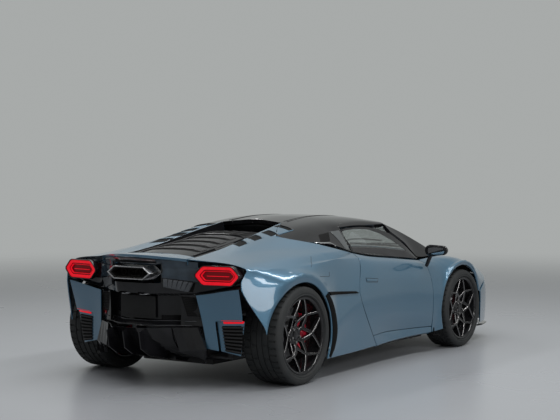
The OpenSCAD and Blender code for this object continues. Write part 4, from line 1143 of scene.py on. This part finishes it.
doorTree = skinTree(bpy.data.objects["door_skin_left"])
handleAt = [(-0.455, 1, 0.716), (-0.275, 1, 0.700), (-0.285, 1, 0.682), (-0.450, 1, 0.694)]
handle = laid("door_handle", doorTree, handleAt, inward, 0.0035, 0.004, paint, 10, 2)
gapAt = [(-0.460, 1, 0.721), (-0.270, 1, 0.704), (-0.281, 1, 0.677), (-0.456, 1, 0.689)]
handleGap = [seam("handle_gap", doorTree, ends, inward, 0.0018, 10) for ends in zip(gapAt, gapAt[1:] + gapAt[:1])]
paired(merge("door_handle_left", [handle] + handleGap), doors)

quarterSkinTree = skinTree(quarter)
paired(merge("quarter_seams_left", [
    seam("flap_seam_a", quarterSkinTree, [(-1.220, 1.0, 0.787), (-1.046, 1.0, 0.774), (-1.034, 1.0, 0.806)], inward),
    seam("flap_seam_b", quarterSkinTree, [(-1.151, 0.86, 0.929), (-1.292, 0.95, 0.860)], inward),
]))

# the blade's slot is a plate of painted shade
bladeCorners = [(-1.130, 1, 0.664), (-0.660, 1, 0.632), (-0.615, 1, 0.614), (-1.100, 1, 0.636)]
paired(laid("side_blade_left", quarterSkinTree, bladeCorners, inward, 0.013, 0.004, shadeAndTrimBlack, 18, 3))

# Black trim round the front of each rear arch, and the winglet behind each front wheel

rearCentre = axleOf("tyre_rear_left")[0]
arch = {"radius": 0.405, "first": 42, "sweep": 70, "ends": 0.034, "middle": 0.030}
trimPairs = []
for t in spaced(0, 1, 24):
    a = radians(arch["first"] - arch["sweep"] * t)
    wide = arch["radius"] + arch["ends"] + arch["middle"] * sin(pi * t)
    trimPairs.append([(rearCentre.x + r * cos(a), 1, rearCentre.z + r * sin(a)) for r in (wide, arch["radius"])])
archTrim = across("arch_trim", quarterSkinTree, trimPairs, inward, 0.0045, 0.002, pianoBlack, 3)
winglet = outline("winglet", [(0.640, 0.905), (0.700, 0.900), (0.812, 0.868), (0.830, 0.905), (0.806, 0.955),
                              (0.700, 0.972), (0.645, 0.966)], 0.010, 0.155)
for v in winglet.data.vertices:  # it slopes down towards the wheel
    v.co.z -= max(0, v.co.x - 0.66) * 0.14
softEdges(winglet, 0.003, 3, 40)
fin = outline("winglet_fin", [(0.690, 0.150), (0.800, 0.176), (0.770, 0.232), (0.690, 0.215)], 0.006, 0)
for v in fin.data.vertices:
    x, z, y = v.co.x, v.co.y, v.co.z
    v.co = (x, 0.945 - (x - 0.69) * 0.25 + y, z)
doneEditing(fin, outward=True)
softEdges(fin, 0.002, 2, 40)
wing = merge("arch_trims_left", [archTrim, smooth(winglet, 35), smooth(fin, 35)])
paired(wing, material=shadeAndTrimBlack)

# Door mirrors: the shell is smoothed, with a glass set in its rear face

mirrorGlass = finish("mirror_glass", (0.62, 0.65, 0.68), 0.03, 1.0)
patterned(mirrorGlass, noise, 20, tones=((0.55, 0.58, 0.61), (0.66, 0.69, 0.72)), dull=(0.02, 0.06), detail=2)


mirror = {"voxel": 0.006, "swell": 0.006, "halfWide": 0.078, "halfHigh": 0.030, "below": 0.048, "outboard": 0.006}


def mirrorShell():
    obj = bpy.data.objects.new("mirror_shell_left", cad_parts["mirror_left"].data.copy())
    bpy.context.scene.collection.objects.link(obj)
    only(obj)
    bpy.ops.mesh.customdata_custom_splitnormals_clear()
    doneEditing(obj, outward=True)
    modify(obj, "REMESH", mode="VOXEL", voxel_size=mirror["voxel"])
    modify(obj, "DISPLACE", strength=mirror["swell"], mid_level=0)
    modify(obj, "SMOOTH", factor=0.5, iterations=6)
    smooth(dress(obj, pianoBlack), 60)
    tree = skinTree(obj)
    low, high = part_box("mirror_left")
    cy, cz = (low.y + high.y) / 2 + mirror["outboard"], high.z - mirror["below"]
    rows = []
    for t in spaced(-1, 1, 8):
        spots = [(cy + mirror["halfWide"] * s * (1 - 0.12 * t * t), cz + mirror["halfHigh"] * t * (1 - 0.18 * s * s))
                 for s in spaced(-1, 1, 12)]
        rows.append([land(tree, (-1, y, z), forward, 0.0015) or Vector((low.x, y, z)) for y, z in spots])
    pane = dress(thicken(skinOf("mirror_pane", rows), (0.003, 0, 0)), mirrorGlass)
    return merge("door_mirror_left", [obj, smooth(pane, 35)])


paired(mirrorShell(), doors, None, (["mirror_left"], ["mirror_right"]))

# Roof: two raised runs and the seams beside them

runs = [seam("roof_run", roofTree, [(0.36, y, 2), (-0.05, y * 1.02, 2), (-0.62, y * 1.1, 2)], down, 0.0022, 30)
        for y in (0.235, 0.262)]
finished(merge("roof_runs", runs + [twin(r, "roof_run_right", acrossCar) for r in runs]), "body")
print("sides done")

# Nose: intake grilles, blades, headlamps, wipers

nose = {"behind": 0.038, "rows": 9, "slatHigh": 0.006, "cornerIn": 0.312, "cornerOut": 0.818, "foot": 0.208,
        "cornerTop": 0.436, "slotReach": 0.222, "slotTop": 0.388, "steps": 14, "vane": (0.40, 0.76), "vaneZ": 0.306}
noseTree = skinTree(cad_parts["front_bumper"])


def noseX(y):  # the front face's place, read just under and over the openings
    a = land(noseTree, (3, y, 0.195), (-1, 0, 0))
    b = land(noseTree, (3, y, 0.455), (-1, 0, 0))
    return (a.x + b.x) / 2


def intake(name, yIn, yOut, low, top):
    steps, count = nose["steps"], nose["rows"]
    line = [(noseX(y) - nose["behind"], y) for y in spaced(yIn, yOut, steps)]
    # the back wall behind the slats is painted shade
    back = skinOf(name + "_back", [[Vector((x - 0.035, y, z)) for x, y in line] for z in (low, top)])
    modify(back, "SOLIDIFY", thickness=0.004, offset=0)
    pieces = [dress(back, shadeAndTrimBlack)]
    for j in range(count):
        z = low + (top - low) * (j + 0.5) / count
        slat = skinOf(f"{name}_slat", [[Vector((x + 0.008, y, z + nose["slatHigh"] / 2)) for x, y in line],
                                       [Vector((x - 0.014, y, z - nose["slatHigh"] / 2 + 0.005)) for x, y in line]])
        modify(slat, "SOLIDIFY", thickness=0.0045, offset=0)
        softEdges(slat, 0.001, 2, 40)
        pieces.append(smooth(dress(slat, grained), 30))
    for x, y in line[::2]:
        post = bar(f"{name}_post", (x - 0.020, y - 0.0025, low), (x - 0.004, y + 0.0025, top))
        softEdges(post, 0.001, 2, 40)
        pieces.append(dress(post, grained))
    return merge(name, pieces)


cornerIntake = intake("corner_intake_left", nose["cornerIn"], nose["cornerOut"], nose["foot"], nose["cornerTop"])
line = [(noseX(y) - 0.020, y) for y in spaced(*nose["vane"], 10)]
vaneTop = [0.016] + [0.015] * 10
vane = skinOf("corner_vane", [[Vector((x + 0.012, y, nose["vaneZ"] + up)) for (x, y), up in zip(line, vaneTop)],
                              [Vector((x - 0.018, y, nose["vaneZ"])) for x, y in line]])
modify(vane, "SOLIDIFY", thickness=0.010, offset=0)
softEdges(vane, 0.003, 3, 40)
smooth(dress(vane, pianoBlack), 30)
paired(merge("corner_intake_left", [cornerIntake, vane]))
middleIntake = intake("middle_intake", -nose["slotReach"], nose["slotReach"], nose["foot"], nose["slotTop"])
finished(middleIntake, "body")

headSkin = smoothed("headlamps", "headlamp_lens", 0.003)
headTree = skinTree(headSkin)
lensDark = finish("smoked_lens", (0.030, 0.034, 0.040), 0.05, coat=1.0, coatRough=0.02)
patterned(lensDark, waves, 28, tones=((0.012, 0.014, 0.017), (0.070, 0.078, 0.090), 0.3, 0.8), bands_direction="Y",
          distortion=1.5)
patterned(lensDark, noise, 12, dull=(0.03, 0.08), detail=2)
finished(headSkin, "body", lensDark, ["headlamps"])
whiteGlow = finish("day_light", (0.80, 0.84, 0.90), 0.2, glow=0.9, glowColour=(0.92, 0.96, 1.0, 1))
patterned(whiteGlow, waves, 120, tones=((0.70, 0.74, 0.80), (0.86, 0.89, 0.94)), dull=(0.15, 0.3))


noseward, before = (-0.77, 0, -0.64), Vector((0.6, 0, 0.5))


def lightBar(points):
    line = landed(headTree, [p + before for p in between(points, 12)], noseward, 0.001)
    return dress(rod("light_bar", line, 0.0045, sides=10), whiteGlow)


dayLights = merge("day_lights_left", [
    lightBar([(2.165, 0.385, 0.590), (2.060, 0.575, 0.588), (1.985, 0.680, 0.583)]),
    lightBar([(1.985, 0.680, 0.583), (1.945, 0.770, 0.590)]),
    lightBar([(1.985, 0.680, 0.583), (1.965, 0.760, 0.566)]),
])
paired(dayLights)
projectors = []
for x, y in ((2.105, 0.500), (2.030, 0.620)):
    spot = land(headTree, Vector((x, y, 0.588)) + before, noseward)
    bpy.ops.mesh.primitive_uv_sphere_add(segments=24, ring_count=12, radius=0.020,
                                         location=spot - Vector((0.008, 0, 0.008)))
    projectors.append(smooth(dress(applyPlace(bpy.context.object), whiteLens), 60))
paired(merge("projector_lenses_left", projectors))

bonnetTree = skinTree(bpy.data.objects["bonnet_skin"])
# the crease is drawn as a thin dark line of painted shade
crease = seam("bonnet_crease", bonnetTree, [(2.12, 0.10, 2), (1.75, 0.24, 2), (1.40, 0.40, 2), (1.20, 0.47, 2)],
              down, n=30)
finished(merge("bonnet_lines", [crease, twin(crease, "bonnet_crease_right", acrossCar)]), "front_lid")

screenTree = skinTree(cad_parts["windscreen"])
wiperBits = []
wiperLines = (((1.155, 0.40, 3), (1.080, 0.10, 3), (1.065, -0.22, 3)), ((1.175, -0.05, 3), (1.120, -0.30, 3),
                                                                        (1.050, -0.52, 3)))
for points in wiperLines:
    spine = landed(screenTree, between(points, 14), down, 0.011)
    wiperBits += [dress(rod("wiper_arm", spine, 0.0055), grained),
                  dress(rod("wiper_edge", [p - Vector((0.002, 0, 0.006)) for p in spine], 0.0035, sides=6), rubber)]
finished(merge("wipers", wiperBits), "body")

screenOuter = [(1.200, 0, 2), (1.165, 0.40, 2), (1.105, 0.735, 2), (0.880, 0.700, 2), (0.620, 0.640, 2),
               (0.415, 0.595, 2)]
screenInner = [(1.150, 0, 2), (1.120, 0.36, 2), (1.060, 0.665, 2), (0.860, 0.640, 2), (0.620, 0.585, 2),
               (0.440, 0.545, 2)]
screenFrit = across("screen_frit", screenTree, pairsOf(screenInner, screenOuter, 40), down, 0.0015, 0.0015,
                    pianoBlack, 3)
finished(merge("screen_edging", [screenFrit, twin(screenFrit, "screen_frit_right", acrossCar)]), "body")
print("nose done")

# Brakes: calipers over the CAD ones


caliper = {"first": -38.9, "sweep": 77.8, "steps": 20, "pistons": (-24, 0, 24), "grow": 0.0015, "discGap": 0.0045}


def caliperPiece(name, centre, discRadius, ahead):
    near, grow = wheels["hubFace"], caliper["grow"]
    rIn = discRadius - (discRadius - 0.084) * 0.67 - grow
    rOut, rDisc = discRadius + 0.018 + grow, discRadius + caliper["discGap"]
    y0, y1 = near - 0.104 - grow, near - 0.006 + grow
    profile = [(y0, rIn), (y0, rOut - 0.010), (y0 + 0.012, rOut), (y1 - 0.014, rOut), (y1, rOut - 0.012),
               (y1, rIn + 0.006),
               (y1 - 0.006, rIn), (near - 0.0275, rIn), (near - 0.0275, rDisc), (near - 0.0705, rDisc),
               (near - 0.0705, rIn), (y0, rIn)]

    def spot(r, a, y):
        return centre.x + ahead * r * cos(a), centre.y + y, centre.z + r * sin(a)

    rows = []
    for k in range(caliper["steps"] + 1):
        a = radians(caliper["first"]) + radians(caliper["sweep"]) * k / caliper["steps"]
        ease = 0.0018 * max(0, abs(k - 10) - 8)  # the ends draw in
        rows.append([spot(r - ease, a, y) for y, r in profile])
    obj = skinOf(name, rows)
    only(obj)
    bpy.ops.object.mode_set(mode="EDIT")
    bpy.ops.mesh.select_all(action="SELECT")
    bpy.ops.mesh.remove_doubles(threshold=0.00001)
    bpy.ops.mesh.select_all(action="DESELECT")
    bpy.ops.mesh.select_mode(type="EDGE")
    bpy.ops.mesh.select_non_manifold(extend=False)
    bpy.ops.mesh.fill()
    doneEditing(obj, outward=True)
    softEdges(obj, 0.0025, 3, 35)
    parts = [obj]
    for a in caliper["pistons"]:
        bpy.ops.mesh.primitive_cylinder_add(vertices=28, radius=0.0195, depth=0.010, rotation=(pi / 2, 0, 0),
                                            location=spot((rIn + discRadius) / 2 + 0.008, radians(a), y1 - 0.001))
        parts.append(softEdges(applyPlace(bpy.context.object), 0.003, 3, 40))
    return smooth(merge(name, parts), 35)


caliperSets = (("front", ("left_knuckle", "right_knuckle"), -1, ()), ("rear", ("body", "body"), 1,
                                                                      ("rear_calipers",)))
for end, bodies, ahead, hides in caliperSets:
    centre = axleOf(f"tyre_{end}_left")[0]
    rimRadius = axleOf(f"rim_{end}_left")[1] - wheels["flange"]
    left = caliperPiece(f"caliper_{end}_left", centre, rimRadius - wheels["discClear"], ahead)
    paired(left, bodies, caliperRed, (hides, ()))
print("calipers done")

# Cabin: padded seats, dashboard, wheel, trim

leather = finish("black_leather", (0.020, 0.020, 0.021), 0.52, specular=0.4)
patterned(leather, cells, 900, bump=(0.35, 0.0003))
patterned(leather, noise, 14, tones=((0.014, 0.014, 0.015), (0.032, 0.031, 0.031)), dull=(0.42, 0.62), detail=5)
thread = finish("grey_thread", (0.35, 0.36, 0.38), 0.7, sheen=0.4)
patterned(thread, waves, 800, tones=((0.25, 0.26, 0.28), (0.42, 0.43, 0.45)), bump=(0.4, 0.0004))

seat = {"place": (0.025, 0.370, 0.190), "halfWide": 0.162, "voxel": 0.006, "pressure": 4, "frames": 20,
        "puffMost": 0.012, "channels": 5, "keep": 0.34, "backLean": (0.906, 0, 0.423)}


def pad(name, corners, thick, up):  # corners: four points of the pad's foot; up: its outward direction
    a, b, c, d = (Vector(p) for p in corners)
    n = Vector(up).normalized()
    obj = skinOf(name, [[a.lerp(b, i / 10).lerp(d.lerp(c, i / 10), j / 12) for i in range(11)] for j in range(13)])
    thicken(obj, n * thick)
    softEdges(obj, thick * 0.32, 4, 60)
    modify(obj, "REMESH", mode="VOXEL", voxel_size=seat["voxel"])
    start = [v.co.copy() for v in obj.data.vertices]
    only(obj)
    cloth = obj.modifiers.new("puff", "CLOTH")
    cloth.settings.quality = 4
    cloth.settings.use_pressure = True
    cloth.settings.uniform_pressure_force = seat["pressure"]
    cloth.settings.effector_weights.gravity = 0
    cloth.point_cache.frame_start, cloth.point_cache.frame_end = 1, seat["frames"]
    scene = bpy.context.scene
    for step in range(1, seat["frames"] + 1):
        scene.frame_set(step)
    graph = bpy.context.evaluated_depsgraph_get()
    puffed = [v.co.copy() for v in obj.evaluated_get(graph).data.vertices]
    obj.modifiers.remove(cloth)
    scene.frame_set(1)
    for v, s, p in zip(obj.data.vertices, start, puffed):
        move = p - s
        if move.length > seat["puffMost"]:
            move = move.normalized() * seat["puffMost"]
        v.co = s + move
    modify(obj, "DECIMATE", ratio=seat["keep"])
    along = (d - a).normalized()
    span = (d - a).length
    sideways = (b - a).normalized()
    width = (b - a).length
    for v in obj.data.vertices:  # sewn channels across the pad's middle panel
        rise = (v.co - a).dot(n) / thick
        if rise < 0.55:
            continue
        s, t = (v.co - a).dot(along) / span, (v.co - a).dot(sideways) / width
        inside = min(1, max(0, (0.5 - abs(t - 0.5) - 0.16) / 0.04))
        cuts = seat["channels"]
        dip = max(exp(-((s - k / (cuts + 1)) * span / 0.007) ** 2) for k in range(1, cuts + 1))
        edgeSeam = exp(-((0.5 - abs(t - 0.5) - 0.17) * width / 0.006) ** 2)
        v.co -= n * (0.007 * dip * inside + 0.006 * edgeSeam)
    modify(obj, "SUBSURF", levels=1, render_levels=1)
    obj.data.materials.clear()
    obj.data.materials.append(leather)
    return smooth(obj, 60)


def seatPoints(*points):
    return [tuple(s + v for s, v in zip(seat["place"], p)) for p in points]


w = seat["halfWide"]
cushion = pad("seat_cushion_left", seatPoints((-0.115, -w, 0.078), (-0.115, w, 0.078), (0.425, w, 0.088),
                                              (0.425, -w, 0.088)),
              0.062, (0, 0, 1))
backrest = pad("seat_back_left", seatPoints((-0.125, -w, 0.135), (-0.125, w, 0.135), (-0.372, w, 0.665),
                                            (-0.372, -w, 0.665)),
               0.055, seat["backLean"])
headrest = pad("seat_headrest_left", seatPoints((-0.385, -0.115, 0.690), (-0.385, 0.115, 0.690),
                                                (-0.422, 0.100, 0.795),
                                                (-0.422, -0.100, 0.795)), 0.048, seat["backLean"])
for piece in (cushion, backrest, headrest):
    paired(piece)
shells = smoothed("seats", "seat_shells", 0.012, 1)
finished(shells, "body", leather, ["seats"])
piping = []
for half in (-1, 1):
    y = half * (w + 0.012)
    points = seatPoints((0.415, y, 0.158), (0.10, y, 0.118), (-0.12, y, 0.145), (-0.25, y, 0.43),
                        (-0.385, y * 0.97, 0.73))
    line = rod("seat_piping", between(points, 40), 0.003, sides=6)
    line.data.materials.append(thread)
    piping.append(line)
paired(merge("seat_piping_left", piping))
print("seats done")

dash = smoothed("dashboard", "dash_pad", 0.010)
finished(dash, "body", leather, ["dashboard"])
dashTree = skinTree(dash)
screenGlass = finish("display_glass", (0.006, 0.007, 0.009), 0.06, glow=0.04, glowColour=(0.3, 0.5, 0.8, 1))
patterned(screenGlass, waves, 35, tones=((0.004, 0.005, 0.006), (0.014, 0.018, 0.024)), dull=(0.04, 0.09),
          bands_direction="Z")
bits = []
for y0, y1, top, foot in ((0.25, 0.49, 0.738, 0.655), (-0.10, 0.10, 0.735, 0.600)):
    bits.append(laid("display", dashTree, facing(y0, y1, top, foot), forward, 0.008, 0.003, screenGlass, 6, 4))
for y in (-0.62, -0.30, -0.15, 0.15, 0.58):
    for k in range(4):
        z = 0.712 - 0.011 * k
        bits.append(laid("dash_vent", dashTree, facing(y - 0.04, y + 0.04, z + 0.002, z - 0.003), forward, 0.006,
                         0.002,
                         pianoBlack, 4, 1))
finished(merge("dash_displays", bits), "body")

nodeFinish = {
    "tub": grained, "arch_liners": grained, "front_suspension": castAlloy, "rear_suspension": castAlloy,
    "knuckle_left": castAlloy,
    "knuckle_right": castAlloy, "steering_wheel": leather, "front_splitter": pianoBlack,
}
for node, mat in nodeFinish.items():
    dress(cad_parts[node], mat)
print("cabin done")

# Floor

bpy.ops.mesh.primitive_plane_add(size=stage["floorSize"], location=(0, 0, -0.0005))
floor = bpy.context.object
floor.name = "floor"
floorPaint = finish("pale_floor", stage["floorColour"], 0.42)
patterned(floorPaint, noise, 0.6, dull=(0.25, 0.31), detail=3)


def seenRays(tree):  # camera, glossy and transmission rays
    path = newNode(tree, "LightPath")
    either, every = (newNode(tree, "Math", operation="MAXIMUM") for _ in range(2))
    linked(tree, (path.outputs["Is Camera Ray"], either.inputs[0]), (path.outputs["Is Glossy Ray"], either.inputs[1]),
           (either.outputs[0], every.inputs[0]), (path.outputs["Is Transmission Ray"], every.inputs[1]))
    return every.outputs[0]


def backdropWorld():
    world = bpy.data.worlds.new("studio")
    bpy.context.scene.world = world
    world.use_nodes = True
    tree = world.node_tree
    tree.nodes.clear()
    out, mix = newNode(tree, "OutputWorld"), newNode(tree, "MixShader")
    light = newNode(tree, "Background", {"Color": (1, 1, 1, 1), "Strength": stage["skyLight"]})
    seen = newNode(tree, "Background", {"Color": (*stage["backdrop"], 1)})
    linked(tree, (seenRays(tree), mix.inputs["Fac"]), (light.outputs[0], mix.inputs[1]),
           (seen.outputs[0], mix.inputs[2]),
           (mix.outputs[0], out.inputs["Surface"]))


def fadeToBackdrop(mat):  # far from the car the floor takes the backdrop's colour
    tree = mat.node_tree
    place = newNode(tree, "TexCoord")
    far = newNode(tree, "VectorMath", operation="LENGTH")
    spread = newNode(tree, "MapRange", {"From Min": stage["fadeFrom"], "From Max": stage["fadeTo"]},
                     interpolation_type="SMOOTHSTEP")
    share = newNode(tree, "Math", operation="MULTIPLY")
    wall = newNode(tree, "Emission", {"Color": (*stage["backdrop"], 1)})
    mix = newNode(tree, "MixShader")
    linked(tree, (place.outputs["Object"], far.inputs[0]), (far.outputs["Value"], spread.inputs["Value"]),
           (spread.outputs["Result"], share.inputs[0]), (seenRays(tree), share.inputs[1]),
           (share.outputs[0], mix.inputs["Fac"]),
           (tree.nodes["Principled BSDF"].outputs["BSDF"], mix.inputs[1]), (wall.outputs[0], mix.inputs[2]),
           (mix.outputs[0], tree.nodes["Material Output"].inputs["Surface"]))


backdropWorld()
fadeToBackdrop(floorPaint)
floor.data.materials.append(floorPaint)
